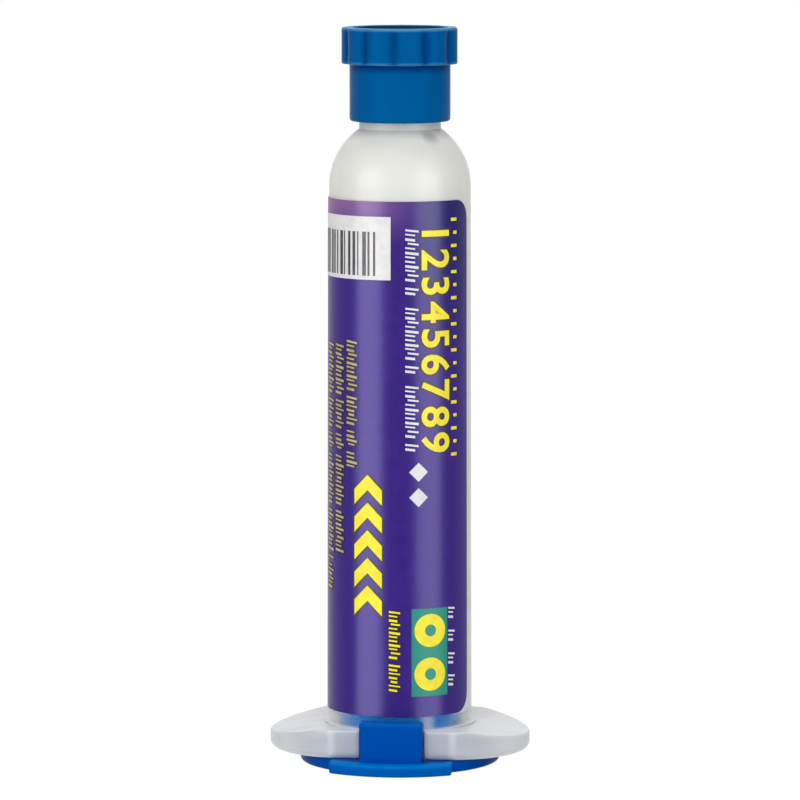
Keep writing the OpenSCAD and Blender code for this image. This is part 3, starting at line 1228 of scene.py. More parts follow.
    def build(self) -> None:
        """Make the barrel as one moulding, and the thread in its collar."""
        angles = even_angles(self.segments)
        tube = make_piece("barrel_body", loft("barrel_body", self.section(), angles, closed=True))
        cut_or_join(tube, self.flange_mesh(), "UNION")
        for side in (-1, 1):
            root = side * (self.size.mouth_r + self.notch_skin)
            near, far = sorted((root, side * self.span))
            notch = rounded_block(
                "notch",
                (-self.notch_w / 2, near, 0),
                (self.notch_w / 2, far, self.notch_top),
                EASED,
                lambda a, b, y=root: level(a, b, 1, y) and level(a, b, 0, a.x),
            )
            cut_or_join(tube, notch, "DIFFERENCE")
        smooth(tube.data, self.sharp_from)
        self.dress(tube, self.material, "barrel_plastic", ["barrel"])
        thread = make_piece("collar_thread", self.thread_mesh())
        self.dress(thread, self.material, "barrel_plastic")

    def thread_mesh(self) -> bpy.types.Mesh:
        """Make the two starts of the lock thread as tapering ribs on the collar's inside.

        Returns:
            The thread's mesh.
        """
        collar = self.size.collar_bore_r
        half, flat = self.thread_half, 0.35 * self.thread_half
        work = bmesh.new()
        for start in (0.0, math.pi):
            rings = []
            for step in range(self.thread_steps + 1):
                share = step / self.thread_steps
                angle = start + TURN * self.thread_turns * share
                z = self.size.collar_z - self.thread_drop - self.thread_lead * self.thread_turns * share
                fade = min(1.0, 12 * share, 12 * (1 - share)) ** 0.5
                root, crest = collar + self.thread_root, collar - self.thread_depth * fade
                shape = ((root, half), (crest, flat), (crest, -flat), (root, -half))
                rings.append([work.verts.new(spot(r, angle, z + rise)) for r, rise in shape])
            for low, high in zip(rings, rings[1:]):
                join_rings(work, low, high)
            work.faces.new(rings[0])
            work.faces.new(list(reversed(rings[-1])))
        return mesh_from(work, "collar_thread")


@dataclass
class TipCap(Piece):
    """The blue cap with its lobed grip band, skirt, recess and inner hub."""

    size: Syringe
    material: bpy.types.Material
    band_r: float = 7.35
    band_h: float = 4.6
    lobes: int = 11
    crease: float = 0.5
    skirt_r: float = 6.35
    skirt_h: float = 7.2
    recess_r: float = 5.9
    recess_h: float = 2.4
    web_h: float = 1.5
    hub_r: float = 3.2
    hub_h: float = 6.5
    skirt_fit: float = 0.25
    nose_fit: float = 0.08
    end_gap: float = 0.45
    lug_w: float = 2.6
    lug_h: float = 1.2
    lug_fit: float = 0.2
    lug_lap: float = 0.3
    ease: float = 0.05
    dimple_r: float = 1.1
    dimple_foot_r: float = 1.0
    dimple_h: float = 0.25
    gate_r: float = 0.45
    points_per_lobe: int = 28
    body = Body.TIP_CAP

    def lobe(self, angle: float) -> float:
        """Return how far the band's outline lies inside its circle at an angle.

        Args:
            angle: The angle, in radians.

        Returns:
            What it adds to the circle's radius: nothing on a crest, and less than nothing beside it.
        """
        pitch = TURN / self.lobes
        low = self.band_r - self.crease
        centre = (self.band_r**2 - low**2) / (2 * (self.band_r - low * math.cos(pitch / 2)))
        off = (angle - math.pi / 2 + pitch / 2) % pitch - pitch / 2
        across = centre * math.sin(off)
        reach = centre * math.cos(off) + math.sqrt((self.band_r - centre) ** 2 - across**2)
        return reach - self.band_r

    def band_section(self, low: float, high: float) -> list[Corner]:
        """Return the band's outside, where the creases are deepest at half height and run out at the rims.

        Args:
            low: Height of the band's lower rim.
            high: Height of its upper rim.

        Returns:
            The section's corners.
        """
        side = ((0.12, 0.9), (0.25, 1.0), (0.5, 1.1), (0.75, 1.0), (0.88, 0.86))
        return [
            Corner(self.band_r, low, SLIGHT, weight=0.8),
            *(Corner(self.band_r, low + share * (high - low), weight=weight) for share, weight in side),
            Corner(self.band_r, high, FULL, weight=0.65),
        ]

    def build(self) -> None:
        """Make the cap as one moulding."""
        s = self.size
        web = s.nose_z + self.end_gap
        recess = web + self.web_h
        top = recess + self.recess_h
        band = top - self.band_h
        skirt = band - self.skirt_h
        hub = web - self.hub_h
        inner = s.collar_r + self.skirt_fit
        corners = [
            Corner(0, web),
            Corner(s.nose_r(web) + self.nose_fit, web, SLIGHT),
            Corner(s.nose_r(hub) + self.nose_fit, hub, FINE),
            Corner(self.hub_r, hub, SLIGHT),
            Corner(self.hub_r, web, SOFT),
            Corner(inner, web, SOFT),
            Corner(inner, skirt, SLIGHT),
            Corner(self.skirt_r, skirt, FULL),
            Corner(self.skirt_r, band, EASED),
            *self.band_section(band, top),
            Corner(self.recess_r, top, SOFT),
            Corner(self.recess_r - self.ease, recess, FULL),
            Corner(self.dimple_r, recess, FINE),
            Corner(self.dimple_foot_r, recess - self.dimple_h, FINE),
            Corner(self.gate_r, recess - self.dimple_h, CRISP),
            Corner(self.gate_r - self.ease, recess - self.ease, CRISP),
            Corner(0, recess - self.ease),
        ]
        angles = even_angles(self.lobes * self.points_per_lobe)
        cap = make_piece("tip_cap_body", loft("tip_cap_body", rounded_section(corners), angles, self.lobe))
        for side in (-1, 1):
            end = side * (s.collar_bore_r - self.lug_fit)
            near, far = sorted((side * (self.hub_r - self.lug_lap), end))
            lug = rounded_block(
                "lug",
                (near, -self.lug_w / 2, hub),
                (far, self.lug_w / 2, hub + self.lug_h),
                SLIGHT,
                lambda a, b, x=end: level(a, b, 0, x),
            )
            cut_or_join(cap, lug, "UNION")
        smooth(cap.data, self.sharp_from)
        self.dress(cap, self.material, "cap_plastic", ["tip_cap"])


@dataclass
class EndCap(Piece):
    """The blue end cap: plate, pads, two tabs and the hollow plug."""

    size: Syringe
    material: bpy.types.Material
    plate_r: float = 12.65
    pad_r: float = 14.4
    pad_w: float = 15.4
    edge_r: float = 0.35
    tab_w: float = 7.9
    tab_reach: float = 12.2
    tab_h: float = 4.9
    tab_edge: float = 0.3
    tab_gap: float = 0.32
    plug_h: float = 6.7
    plug_wall: float = 1.2
    bead_h: float = 1.0
    plug_fit: float = 0.08
    plug_ease: float = 0.25
    hollow_edge: float = 0.6
    segments: int = 240
    body = Body.END_CAP

    def plate_edge(self, angle: float) -> float:
        """Return how far the plate's outline lies outside its disc at an angle.

        Args:
            angle: The angle, in radians.

        Returns:
            The distance.
        """
        side = abs(math.cos(angle))
        pad = min(self.pad_r, self.pad_w / 2 / max(side, CLOSE))
        return max(self.plate_r, pad) - self.plate_r

    def plate_angles(self) -> list[float]:
        """Return the loft's angles, with the outline's own corners among them.

        Returns:
            The angles in order, in radians.
        """
        half = self.pad_w / 2
        outer = math.acos(half / self.pad_r)
        inner = math.acos(half / self.plate_r)
        own = [*Barrel.mirrored(outer), *Barrel.mirrored(inner)]
        side = [a for share in (0.25, 0.5, 0.75) for a in Barrel.mirrored(inner + (outer - inner) * share)]
        return sorted({*even_angles(self.segments), *own, *side})

    def build(self) -> None:
        """Make the end cap as one moulding."""
        s = self.size
        wall = s.bore_r - self.plug_ease
        bead = s.bore_r - self.plug_fit
        hollow = wall - self.plug_wall
        top = s.plate_h + self.plug_h
        bead_z = top - self.plug_wall - self.bead_h
        corners = [
            Corner(0, top - self.plug_wall),
            Corner(hollow, top - self.plug_wall, self.hollow_edge),
            Corner(hollow, 0, self.edge_r),
            Corner(self.plate_r, 0, self.edge_r, 1.0),
            Corner(self.plate_r, s.plate_h, self.edge_r, 1.0),
            Corner(wall, s.plate_h, EASED),
            Corner(wall, bead_z - self.bead_h / 2, SOFT),
            Corner(bead, bead_z, SOFT),
            Corner(bead, bead_z + self.bead_h / 2, SOFT),
            Corner(wall, bead_z + self.bead_h, SOFT),
            Corner(wall - self.plug_wall / 2, top, SOFT),
            Corner(0, top),
        ]
        mesh = loft("end_cap_body", rounded_section(corners), self.plate_angles(), self.plate_edge)
        cap = make_piece("end_cap_body", mesh)
        for side in (-1, 1):
            near, far = sorted((side * (s.mouth_r + self.tab_gap), side * self.tab_reach))
            upper = s.plate_h + self.tab_h
            tab = rounded_block(
                "tab",
                (-self.tab_w / 2, near, s.plate_h / 2),
                (self.tab_w / 2, far, upper),
                self.tab_edge,
                lambda a, b, y=side * self.tab_reach, z=upper: self.tab_round(a, b, y, z),
            )
            cut_or_join(cap, tab, "UNION")
        smooth(cap.data, self.sharp_from)
        self.dress(cap, self.material, "end_cap_plastic", ["end_cap"])

    @staticmethod
    def tab_round(first: Vector, last: Vector, face: float, upper: float) -> bool:
        """Return whether a tab's edge is one of the outer or upper ones that are rounded."""
        on_foot = level(first, last, 2, min(first.z, last.z)) and first.z < upper - CLOSE
        return level(first, last, 2, upper) or (level(first, last, 1, face) and not on_foot)


@dataclass
class Piston(Piece):
    """The white wiper piston."""

    size: Syringe
    material: bpy.types.Material
    foot: float
    length: float = 10.5
    cone: float = 2.2
    lip_h: float = 2.2
    waist: float = 0.6
    wall: float = 1.3
    fit: float = 0.1
    roof_edge: float = 0.8
    point_r: float = 0.9
    point_edge: float = 0.6
    segments: int = 144
    body = Body.PISTON
    sharp_from = 40.0

    def build(self) -> None:
        """Make the piston as one moulding, hollow from behind."""
        lip = self.size.bore_r - self.fit
        waist = lip - self.waist
        hollow = waist - self.wall
        roof = self.length - self.wall
        corners = [
            Corner(0, roof + self.cone * hollow / lip),
            Corner(hollow, roof, self.roof_edge),
            Corner(hollow, 0, SLIGHT),
            Corner(lip - self.waist / 2, 0, FINE),
            Corner(lip, self.lip_h / 3, SOFT),
            Corner(lip, self.lip_h * 2 / 3, SOFT),
            Corner(waist, self.lip_h, FULL),
            Corner(waist, self.length - self.lip_h, FULL),
            Corner(lip, self.length - self.lip_h * 2 / 3, SOFT),
            Corner(lip, self.length - self.lip_h / 4, SOFT),
            Corner(waist, self.length, SOFT),
            Corner(self.point_r, self.length + 0.9 * self.cone, self.point_edge),
            Corner(0, self.length + 0.94 * self.cone),
        ]
        section = [Corner(c.r, c.z + self.foot) for c in rounded_section(corners)]
        mesh = loft("piston_body", section, even_angles(self.segments))
        piece = make_piece("piston_body", mesh, self.sharp_from)
        self.dress(piece, self.material, "piston_plastic", ["piston"])


@dataclass
class FluxFilling(Piece):
    """The paste in the barrel."""

    size: Syringe
    material: bpy.types.Material
    joint: str
    travel: float
    foot: float
    cone: float
    top: float
    fit: float = 0.08
    fixed_z: float = 74.0
    foot_r: float = 6.6
    tilt: float = 1.1
    low_side: float = -35.0
    slope_h: float = 2.2
    ripple: float = 0.35
    segments: int = 120
    side_steps: int = 12
    dome_steps: int = 16
    body = Body.BARREL
    sharp_from = 50.0

    def build(self) -> None:
        """Make the paste, with a slanted uneven top under the dome's air pocket."""
        s = self.size
        radius = s.bore_r - self.fit
        rise = math.degrees(math.asin((self.top - s.dome_z) / radius))
        step_h = (s.dome_z - self.foot) / self.side_steps
        side = [Corner(radius, self.foot + step_h * step) for step in range(self.side_steps + 1)]
        dome = arc_points((0, s.dome_z), radius, 0, rise, self.dome_steps)[1:]
        lid = [Corner(dome[-1].r * share, self.top) for share in (0.92, 0.8, 0.6, 0.4, 0.2, 0.0)]
        bottom = [Corner(0, self.foot + self.cone), Corner(self.foot_r, self.foot)]
        mesh = loft("flux_filling", [*bottom, *side, *dome, *lid], even_angles(self.segments))
        self.slump(mesh)
        piece = make_piece("flux_filling", mesh, self.sharp_from)
        self.dress(piece, self.material, "flux", ["flux_paste"])
        keep = 1 - self.travel / (self.fixed_z - self.foot)
        self.fixed_z * MM
        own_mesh(piece)

    def slump(self, mesh: bpy.types.Mesh) -> None:
        """Lower the top unevenly, most on the side where the air has gathered.

        Args:
            mesh: The paste's mesh.
        """
        start = self.top - self.slope_h * self.tilt
        for vertex in mesh.vertices:
            x, y, z = (value / MM for value in vertex.co)
            if z < start:
                continue
            share = (z - start) / (self.top - start)
            lean = 0.5 + 0.5 * math.cos(math.atan2(y, x) - math.radians(self.low_side))
            waves = 0.5 + 0.25 * math.sin(1.9 * x + 0.7) + 0.25 * math.sin(2.3 * y + 1.1 * x)
            vertex.co.z = (z - share * self.tilt * (lean + self.ripple * waves)) * MM


@dataclass(frozen=True)
class FineColumn:
    """A column of fine strokes: its angle, its ends' heights, its width, and the pitch of its strokes."""

    angle: float
    low: float
    high: float
    width: float
    pitch: float


@dataclass
class WrapLabel(Piece):
    """The film round the tube and all that is printed on it."""

    size: Syringe
    film: bpy.types.Material
    inks: Mapping[Ink, bpy.types.Material]
    corner_r: float = 2.5
    corner_steps: int = 8
    film_slice: float = 0.25
    film_rows: int = 24
    ink_t: float = 0.03
    slice_w: float = 0.3
    slant: float = 0.12
    edge: float = 0.24
    fine_edge: float = 0.16
    bold: float = 0.11
    scale_step: float = 3.28
    scale_steps: int = 9
    scale_rise: float = 33.0
    scale_right: float = 56.5
    long_line: float = 1.0
    short_line: float = 0.6
    line_w: float = 0.4
    digit_h: float = 4.1
    digit_share: float = 0.76
    digit_gap: float = 0.3
    rule_angle: float = 15.3
    rule_w: float = 1.2
    dash_step: float = 9.8
    dash_gap: float = 0.9
    diamonds: int = 2
    diamond_w: float = 2.4
    diamond_step: float = 3.2
    diamond_angle: float = 20.6
    diamond_drop: float = 0.8
    panel_right: float = -1.5
    panel_w: float = 13.5
    panel_h: float = 7.9
    panel_drop: float = 1.9
    bars: int = 14
    bars_margin: float = 1.5
    bars_drop: float = 1.9
    bars_rise: float = 0.5
    block_w: float = 4.9
    block_h: float = 11.1
    block_angle: float = 30.4
    block_rise: float = 2.6
    rings: int = 2
    ring_r: float = 2.1
    ring_bore_r: float = 0.75
    ring_segments: int = 72
    arrows: int = 5
    arrow_step: float = 3.5
    arrow_w: float = 3.8
    arrow_angle: float = -20.3
    arrow_rise: float = 12.8
    cream: tuple[FineColumn, ...] = (
        FineColumn(-35.3, 37.5, 54.2, 1.7, 0.54),
        FineColumn(-49.8, 27.0, 53.6, 1.7, 0.54),
        FineColumn(-65.0, 21.8, 53.6, 1.8, 0.54),
    )
    yellow: tuple[FineColumn, ...] = (FineColumn(1.6, 8.9, 20.3, 1.4, 0.52),)
    white: tuple[FineColumn, ...] = tuple(
        FineColumn(50.5, low, low + 1.7, 1.1, 0.55) for low in (10.2, 13.0, 15.9, 18.8)
    )
    rule_pitch: float = 0.56
    body = Body.BARREL
    sharp_from = 40.0

    def wrapped(self, u: float, z: float, off: float) -> tuple[float, float, float]:
        """Return the point at a length round the tube, a height, and a distance off its surface."""
        return spot(self.size.tube_r(z) + off, u / self.size.mouth_r - math.pi / 2, z)

    def film_mesh(self) -> bpy.types.Mesh:
        """Make the film in narrow upright strips, with rounded corners and both its faces.

        Returns:
            The film's mesh.
        """
        s = self.size
        right = s.around(s.label_right)
        left = right - s.label_w
        turns = [math.pi / 2 * step / self.corner_steps for step in range(self.corner_steps + 1)]
        ends = [self.corner_r * (1 - math.cos(turn)) for turn in turns]
        middle_w = s.label_w - 2 * self.corner_r
        count = round(middle_w / self.film_slice)
        columns = [left + e for e in ends]
        columns += [left + self.corner_r + middle_w * step / count for step in range(1, count)]
        columns += [right - e for e in reversed(ends)]
        work = bmesh.new()
        inner: list[list[bmesh.types.BMVert]] = []
        outer: list[list[bmesh.types.BMVert]] = []
        rows = self.film_rows
        for u in columns:
            inset = max(0.0, self.corner_r - (u - left), self.corner_r - (right - u))
            trim = self.corner_r - math.sqrt(max(0.0, self.corner_r**2 - inset**2))
            low, high = s.label_z + trim, s.label_top - trim
            heights = [low + (high - low) * row / rows for row in range(rows + 1)]
            for side, off in ((inner, s.glue), (outer, s.glue + s.film)):
                side.append([work.verts.new(self.wrapped(u, z, off)) for z in heights])
        upright = [*zip(inner, inner[1:]), *zip(outer, outer[1:])]
        upright += [(inner[end], outer[end]) for end in (0, -1)]
        across = [([column[end] for column in inner], [column[end] for column in outer]) for end in (0, -1)]
        for first, second in (*upright, *across):
            for a, b, c, d in zip(first, second, second[1:], first[1:]):
                work.faces.new((a, b, c, d))
        return mesh_from(work, "label_film")

    def printed(
        self, name: str, ink: Ink, shapes: Sequence[Sequence[Flat]], layer: int = 0, replaces: str = ""
    ) -> None:
        """Print some flat outlines on the film.

        Args:
            name: The piece's name.
            ink: Its colour.
            shapes: Outlines as points of length round the tube and height.
            layer: 0 for ink on film, 1 for ink on ink.
            replaces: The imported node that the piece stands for.
        """
        work = bmesh.new()
        for shape in shapes:
            work.faces.new([work.verts.new((u, z, 0)) for u, z in shape])
        self.print_mesh(name, ink, work, layer, replaces)

    def print_mesh(
        self, name: str, ink: Ink, work: bmesh.types.BMesh, layer: int, replaces: str = ""
    ) -> None:
        """Wrap a flat mesh round the tube in narrow slices, give it the ink's thickness and dress it.

        Args:
            name: The piece's name.
            ink: Its colour.
            work: The flat mesh, which is used up.
            layer: 0 for ink on film, 1 for ink on ink.
            replaces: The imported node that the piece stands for.
        """
        low = min(v.co.x for v in work.verts)
        high = max(v.co.x for v in work.verts)
        for step in range(1, math.ceil((high - low) / self.slice_w)):
            geometry = [*work.verts, *work.edges, *work.faces]
            where = (low + step * self.slice_w, 0, 0)
            bmesh.ops.bisect_plane(work, geom=geometry, dist=1e-5, plane_co=where, plane_no=(1, 0, 0))
        base = self.size.glue + self.size.film + layer * self.ink_t
        bottom = {v: v.co.copy() for v in work.verts}
        top = bmesh.ops.duplicate(work, geom=[*work.verts, *work.edges, *work.faces])
        pairs = {old: new for old, new in top["vert_map"].items() if old in bottom}
        rims = [e for e in work.edges if e.is_boundary and e.verts[0] in pairs]
        for edge in rims:
            a, b = edge.verts
            work.faces.new((a, b, pairs[b], pairs[a]))
        for vertex, flat in bottom.items():
            vertex.co = self.wrapped(flat.x, flat.y, base)
            pairs[vertex].co = self.wrapped(flat.x, flat.y, base + self.ink_t)
        piece = make_piece(name, mesh_from(work, name), self.sharp_from)
        self.dress(piece, self.inks[ink], ink.slot, [replaces] if replaces else [])

    @staticmethod
    def bar(u0: float, u1: float, z0: float, z1: float) -> list[Flat]:
        """Return an upright rectangle."""
        return [(u0, z0), (u1, z0), (u1, z1), (u0, z1)]

    def scale(self) -> None:
        """Print the scale's lines, and its numbers with a dark edge."""
        right = self.size.around(self.scale_right)
        foot = self.size.label_z + self.scale_rise
        lines = []
        for step in range(self.scale_steps * 2 + 1):
            z = foot + step * self.scale_step / 2
            length = self.short_line if step % 2 else self.long_line
            lines.append(self.bar(right - length, right, z - self.line_w / 2, z + self.line_w / 2))
        self.printed("scale_lines", Ink.YELLOW, lines, replaces="print_yellow")
        middle = right - self.long_line - self.digit_gap - self.digit_h / 2
        coats = (
            ("number_edges", Ink.DARK, self.bold + self.edge, 0),
            ("scale_numbers", Ink.YELLOW, self.bold, 1),
        )
        for name, ink, bold, layer in coats:
            work = bmesh.new()
            for step in range(self.scale_steps):
                place = foot + (self.scale_steps - step - 0.5) * self.scale_step
                self.add_number(work, step + 1, middle, place, bold)
            self.print_mesh(name, ink, work, layer)

    def add_number(self, work: bmesh.types.BMesh, number: int, u: float, z: float, bold: float) -> None:
        """Add one number, read with the tip to the left, centred on a point.

        Args:
            work: The flat mesh that takes it.
            number: The number.
            u: Length round the tube to its middle.
            z: Height of its middle.
            bold: How far its strokes are thickened on each side.
        """
        curve = bpy.data.curves.new("number", "FONT")
        curve.body = str(number)
        curve.size = self.digit_h / self.digit_share
        curve.offset = bold
        curve.resolution_u = 4
        text = bpy.data.objects.new("number", curve)
        mesh = bpy.data.meshes.new_from_object(text)
        bpy.data.objects.remove(text)
        places = [[vertex.co[axis] for vertex in mesh.vertices] for axis in (0, 1)]
        across, up = ((min(place) + max(place)) / 2 for place in places)
        for vertex in mesh.vertices:
            vertex.co = (u + vertex.co.y - up, z - vertex.co.x + across, 0)
        work.from_mesh(mesh)
        bpy.data.meshes.remove(mesh)

    def strokes(self, columns: Iterable[FineColumn], grow: float = 0.0) -> list[list[Flat]]:
        """Return fine uneven strokes, in groups, that stand for lines of small print.

        Args:
            columns: The columns that the strokes fill, from their upper ends.
            grow: How far each stroke is grown on all sides.

        Returns:
            The strokes' outlines.
        """
        found = []
        for column in columns:
            middle, width, pitch = self.size.around(column.angle), column.width, column.pitch
            for step in range(math.floor((column.high - column.low) / pitch)):
                if step % 13 == 12 or step % 29 == 20:
                    continue
                foot = middle - width / 2 + (0.18 * width if step % 7 == 3 else 0.0) - grow
                head = middle + width * (0.5 if step % 5 in (0, 3) else 0.24) + grow
                thick = pitch * (0.44 + 0.12 * math.sin(4.1 * step))
                low = column.high - step * pitch - thick - grow
                high = low + thick + 2 * grow
                drop = self.slant * (head - foot)
                found.append([(foot, low), (head, low - drop), (head, high - drop), (foot, high)])
        return found

    def fine_print(self) -> None:
        """Print the fine columns: cream and yellow ones with dark edges, and short white ones."""
        edged = (("fine_lines", Ink.CREAM, self.cream), ("yellow_line", Ink.YELLOW, self.yellow))
        for name, ink, columns in edged:
            self.printed(f"{name}_edges", Ink.DARK, self.strokes(columns, self.fine_edge))
            self.printed(name, ink, self.strokes(columns), layer=1)
        self.printed("white_line", Ink.WHITE, self.strokes(self.white))

    def panel(self) -> None:
        """Print the white panel and its plain bars, the dashed rule and the diamonds below it."""
        s = self.size
        low = s.label_top - self.panel_drop - self.panel_h
        right = s.around(self.panel_right)
        white = [self.bar(right - self.panel_w, right, low, low + self.panel_h)]
        foot = s.label_z + self.scale_rise
        for step in range(math.floor(self.scale_step * self.scale_steps / self.dash_step)):
            z = foot + step * self.dash_step
            end = z + self.dash_step - self.dash_gap
            white += self.strokes([FineColumn(self.rule_angle, z, end, 1.4 * self.rule_w, self.rule_pitch)])
        middle, half = s.around(self.diamond_angle), self.diamond_w / 2
        for step in range(self.diamonds):
            z = foot - self.diamond_drop - step * self.diamond_step - half
            white.append([(middle + half, z), (middle, z + half), (middle - half, z), (middle, z - half)])
        self.printed("white_panel", Ink.WHITE, white, replaces="print_white")
        pitch = (self.panel_w - 2 * self.bars_margin) / self.bars
        bottom, top = low + self.bars_rise, low + self.panel_h - self.bars_drop
        bars = []
        for step in range(self.bars):
            left = right - self.panel_w + self.bars_margin + step * pitch
            width = (0.45 + 0.25 * math.sin(math.radians(step * 137))) * pitch
            bars.append(self.bar(left, left + width, bottom, top))
        self.printed("panel_bars", Ink.BLACK, bars, layer=1, replaces="print_black")

    def block(self) -> None:
        """Print the teal block and the rings on it."""
        middle = self.size.around(self.block_angle)
        low = self.size.label_z + self.block_rise
        block = self.bar(middle - self.block_w / 2, middle + self.block_w / 2, low, low + self.block_h)
        self.printed("teal_block", Ink.TEAL, [block], replaces="print_teal")
        work = bmesh.new()
        for ring in range(self.rings):
            centre_z = low + (ring + 0.5) * self.block_h / self.rings
            edges = []
            for radius in (self.ring_bore_r, self.ring_r):
                edges.append(
                    [
                        work.verts.new((middle + radius * math.cos(a), centre_z + radius * math.sin(a), 0))
                        for a in even_angles(self.ring_segments)
                    ]
                )
            join_rings(work, *edges)
        self.print_mesh("block_rings", Ink.YELLOW, work, 1)

    def arrowheads(self) -> None:
        """Print the arrowheads that point to the tip, with a dark edge."""
        foot = self.size.label_z + self.arrow_rise
        heights = [foot + step * self.arrow_step for step in range(self.arrows)]
        coats = (("arrow_edges", Ink.DARK, self.edge, 0), ("arrowheads", Ink.YELLOW, 0.0, 1))
        for name, ink, edge, layer in coats:
            shapes = [half for z in heights for half in self.arrowhead(z, edge)]
            self.printed(name, ink, shapes, layer)

    def arrowhead(self, z: float, edge: float) -> list[list[Flat]]:
        """Return the two halves of an arrowhead.

        Args:
            z: The height that it stands on.
            edge: How far it is grown.

        Returns:
            The halves' outlines.
        """
        middle = self.size.around(self.arrow_angle)
        half = self.arrow_w / 2
        out, rise = half + edge, edge * math.sqrt(2)
        return [
            [
                (middle + side * out, z - edge - rise),
                (middle, z + half - rise),
                (middle, z + 2 * half + rise),
                (middle + side * out, z + half - edge + rise),
            ]
            for side in (-1, 1)
        ]

    def build(self) -> None:
        """Make the film and its print."""
        film = make_piece("label_film", self.film_mesh(), self.sharp_from)
        self.dress(film, self.film, "label_film", ["label"])
        self.panel()
        self.scale()
        self.block()
        self.arrowheads()
        self.fine_print()


@dataclass(frozen=True)
class Lamp:
    """A soft lamp, which may be hidden from matt surfaces or from glossy ones.

    It stands at degrees round from the camera and above the horizon, and metres from the syringe. Its
    width and height are metres and its power is watts.
    """

    name: str
    azimuth: float
    elevation: float
    distance: float
    wide: float
    high: float
    power: float
    diffuse: bool = True
    glossy: bool = True


@dataclass
class Studio:
    """Camera, lights, floor and the white surroundings, with lengths in metres but for the lens."""

    azimuth: float = 5.9
    elevation: float = 6.4
    distance: float = 0.66
    aim_z: float = 0.0459
    lens: float = 234.6
    sensor_w: float = 36.0
    clip: tuple[float, float] = (0.01, 20.0)
    floor_w: float = 3.0
    floor_colour: Colour = (0.9, 0.9, 0.9, 1.0)
    floor_glow: float = 0.11
    floor_share: float = 0.86
    white: Colour = (1.0, 1.0, 1.0, 1.0)
    fill: float = 0.42
    lamps: tuple[Lamp, ...] = (
        Lamp("left_strip", -50, 0, 0.8, 0.6, 1.0, 22.0, diffuse=False),
        Lamp("right_strip", 46, 0, 0.8, 0.6, 1.0, 22.0, diffuse=False),
        Lamp("front_softbox", -9, 22, 1.0, 0.8, 0.8, 5.8, glossy=False),
        Lamp("back_softbox", 180, 22, 1.0, 0.8, 0.8, 3.4, glossy=False),
        Lamp("top_softbox", 0, 75, 0.9, 0.7, 0.7, 2.0),
    )

    def aim(self, item: bpy.types.Object, azimuth: float, elevation: float, distance: float) -> None:
        """Place a lamp or the camera so that it looks at the syringe's middle.

        Args:
            item: The object to place.
            azimuth: Degrees round from -Y towards +X.
            elevation: Degrees above the horizon.
            distance: Metres from the middle.
        """
        turn, rise = math.radians(azimuth), math.radians(elevation)
        away = Vector((math.sin(turn) * math.cos(rise), -math.cos(turn) * math.cos(rise), math.sin(rise)))
        item.location = Vector((0, 0, self.aim_z)) + distance * away
        item.rotation_euler = away.to_track_quat("Z", "Y").to_euler()

    def camera(self) -> None:
        """Make the camera at the photograph's angle."""
        data = bpy.data.cameras.new("camera")
        data.lens = self.lens
        data.sensor_width = self.sensor_w
        data.clip_start, data.clip_end = self.clip
        item = bpy.data.objects.new("camera", data)
        bpy.context.scene.collection.objects.link(item)
        self.aim(item, self.azimuth, self.elevation, self.distance)
        bpy.context.scene.camera = item

    def light(self, lamp: Lamp) -> None:
        """Make one lamp.

        Args:
            lamp: Its name, place, size and power.
        """
        data = bpy.data.lights.new(lamp.name, "AREA")
        data.shape = "RECTANGLE"
        data.size = lamp.wide
        data.size_y = lamp.high
        data.energy = lamp.power
        item = bpy.data.objects.new(lamp.name, data)
        item.visible_diffuse = lamp.diffuse
        item.visible_glossy = lamp.glossy
        bpy.context.scene.collection.objects.link(item)
        self.aim(item, self.azimuth + lamp.azimuth, lamp.elevation, lamp.distance)

    def surroundings(self) -> None:
        """Make the world: white where it shows, quieter where it only lights."""
        world = bpy.data.worlds.new("surroundings")
        bpy.context.scene.world = world
        world.use_nodes = True
        tree = NodeKit(world.node_tree)
        strength = self.fill + (1 - self.fill) * tree.rays("Camera", "Transmission", "Glossy")
        background = tree.node("ShaderNodeBackground", inputs={"Color": self.white, "Strength": strength})
        tree.end(background, "ShaderNodeOutputWorld")

    def floor(self) -> None:
        """Make the pale floor: white but for the syringe's shadow, and clear to a cap pulled off below it."""
        work = bmesh.new()
        bmesh.ops.create_grid(work, x_segments=1, y_segments=1, size=self.floor_w / 2)
        item = make_piece("floor", mesh_from(work, "floor"))
        tree = FinishTree("pale_floor")
        below = tree.node("ShaderNodeNewGeometry", output="Backfacing")
        lit = tree.node("ShaderNodeBsdfDiffuse", inputs={"Color": self.floor_colour})
        clear = tree.node("ShaderNodeBsdfTransparent")
        glow = tree.node("ShaderNodeEmission", inputs={"Color": self.white, "Strength": self.floor_glow})
        veil = tree.node("ShaderNodeAddShader", inputs={0: clear, 1: glow})
        share = self.floor_share * tree.rays("Camera", "Transmission")
        shown = tree.node("ShaderNodeMixShader", inputs={0: share, 1: lit, 2: veil})
        unseen = below.most(tree.rays("Glossy"))
        surface = tree.node("ShaderNodeMixShader", inputs={0: unseen, 1: shown, 2: clear})
        item.data.materials.append(tree.close(surface))

    def build(self) -> None:
        """Make the whole studio."""
        for lamp in self.lamps:
            self.light(lamp)
        self.surroundings()
        self.floor()
        bpy.context.scene.view_settings.view_transform = "Standard"
        LOG.info("made the studio")


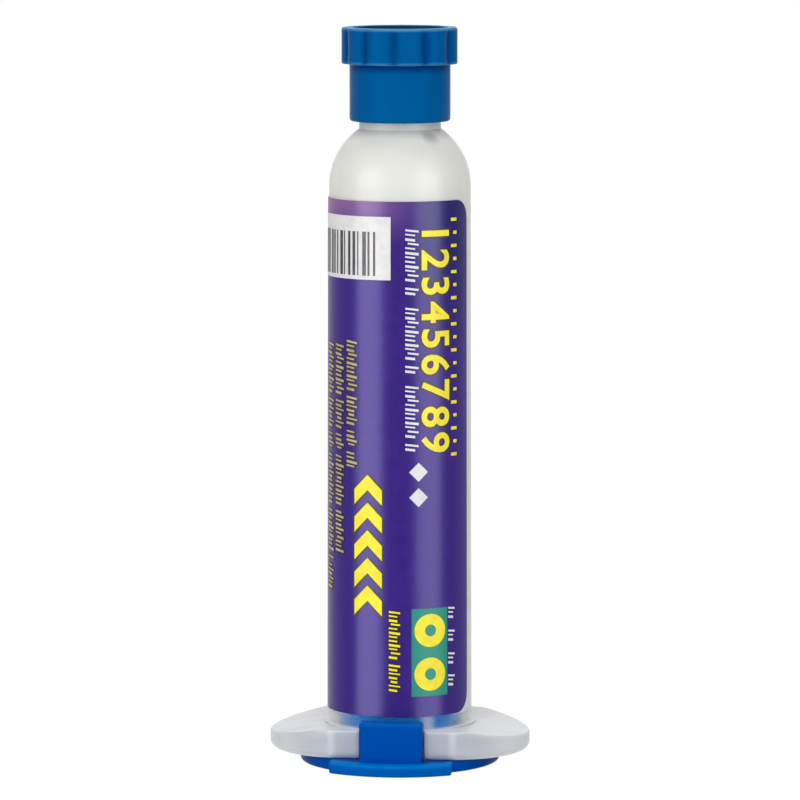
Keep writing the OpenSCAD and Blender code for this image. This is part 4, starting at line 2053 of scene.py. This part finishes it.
def inks() -> dict[Ink, bpy.types.Material]:
    """Make the printed colours' materials.

    Returns:
        A material for each ink.
    """
    shades = {
        Ink.WHITE: (srgb(220, 218, 219), srgb(208, 206, 208)),
        Ink.BLACK: (srgb(52, 50, 54), srgb(78, 76, 82)),
        Ink.YELLOW: (srgb(240, 226, 40), srgb(228, 208, 30)),
        Ink.CREAM: (srgb(186, 170, 138), srgb(160, 144, 112)),
        Ink.DARK: (srgb(26, 16, 34), srgb(36, 22, 44)),
        Ink.TEAL: (srgb(2, 126, 108), srgb(8, 134, 114)),
    }
    return {ink: PrintInk(ink.value, *pair).make() for ink, pair in shades.items()}


def tip_blue() -> CapPlastic:
    """Return the tip cap's finish: painted shade in the creases and recess, painted highlights on the top rim
    and the band's lower edge, and a painted shadow under the band.

    Returns:
        The finish.
    """
    # Colours of the painted shade and the painted highlights.
    dark, pale = srgb(0, 60, 116), srgb(88, 156, 204)
    tones = (
        # Painted highlight along the band's lower edge.
        Tone(pale, 0.3, above=(88.4, 88.5), below=(88.6, 88.95), outside=(6.4, 6.6)),
        # Painted shade in the band's creases.
        Tone(dark, 0.85, above=(88.4, 88.7), below=(92.4, 93.0), outside=(6.2, 6.5), within=(6.93, 7.27)),
        # Painted highlight on the top rim.
        Tone(pale, 0.65, above=(92.6, 93.0)),
        # Painted shadow on the skirt under the band.
        Tone(srgb(0, 40, 96), 0.75, above=(87.2, 88.3), below=(88.4, 88.46)),
        # Painted shade in the recess.
        Tone(srgb(14, 58, 100), 1.0, above=(88.5, 88.7), within=(5.95, 6.1)),
    )
    return CapPlastic("blue_cap", srgb(0, 87, 148), srgb(0, 74, 134), tones)


def end_blue() -> CapPlastic:
    """Return the end cap's finish: a paler plate and pads, painted highlights on the pads' and tabs' tops,
    and painted light on the plug, which lies in the barrel's shade.

    Returns:
        The finish.
    """
    plate = srgb(0, 88, 172)
    tones = (
        Tone(plate, 0.9, below=(1.2, 1.6), outside=(12.7, 12.9)),
        # Painted highlight along the pads' top edges.
        Tone(srgb(0, 124, 200), 0.75, above=(1.0, 1.4), below=(1.6, 1.8), outside=(12.7, 12.9)),
        # Painted highlight on the tabs' tops.
        Tone(srgb(0, 104, 190), 0.6, above=(5.9, 6.4), outside=(8.6, 8.8)),
        # Painted light on the plug, which lies in the shade of the barrel, flange and label.
        Tone(srgb(0, 149, 248), 1.0, above=(1.8, 2.4), within=(7.9, 8.2)),
    )
    return CapPlastic("blue_end_cap", srgb(0, 76, 168), srgb(0, 66, 150), tones)


def main() -> None:
    """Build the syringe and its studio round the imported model."""
    logging.basicConfig(level=logging.INFO, format="%(name)s: %(message)s", stream=sys.stdout)
    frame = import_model()
    studio = Studio()
    studio.camera()
    size = Syringe()
    piston_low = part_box("piston")[0].z / MM
    paste_low, paste_high = (corner.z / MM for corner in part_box("flux_paste"))
    travel = next(j["range_m"][1] for j in frame["joints"] if j["name"] == "piston_travel") / MM
    piston = Piston(size, PistonPlastic().make(), piston_low)
    Barrel(size, MilkyPlastic(size).make()).build()
    TipCap(size, tip_blue().make()).build()
    EndCap(size, end_blue().make()).build()
    piston.build()
    FluxFilling(size, FluxPaste().make(), "piston_travel", travel, paste_low, piston.cone, paste_high).build()
    WrapLabel(size, LabelFilm().make(), inks()).build()
    studio.build()


if __name__ == "__main__":
    main()
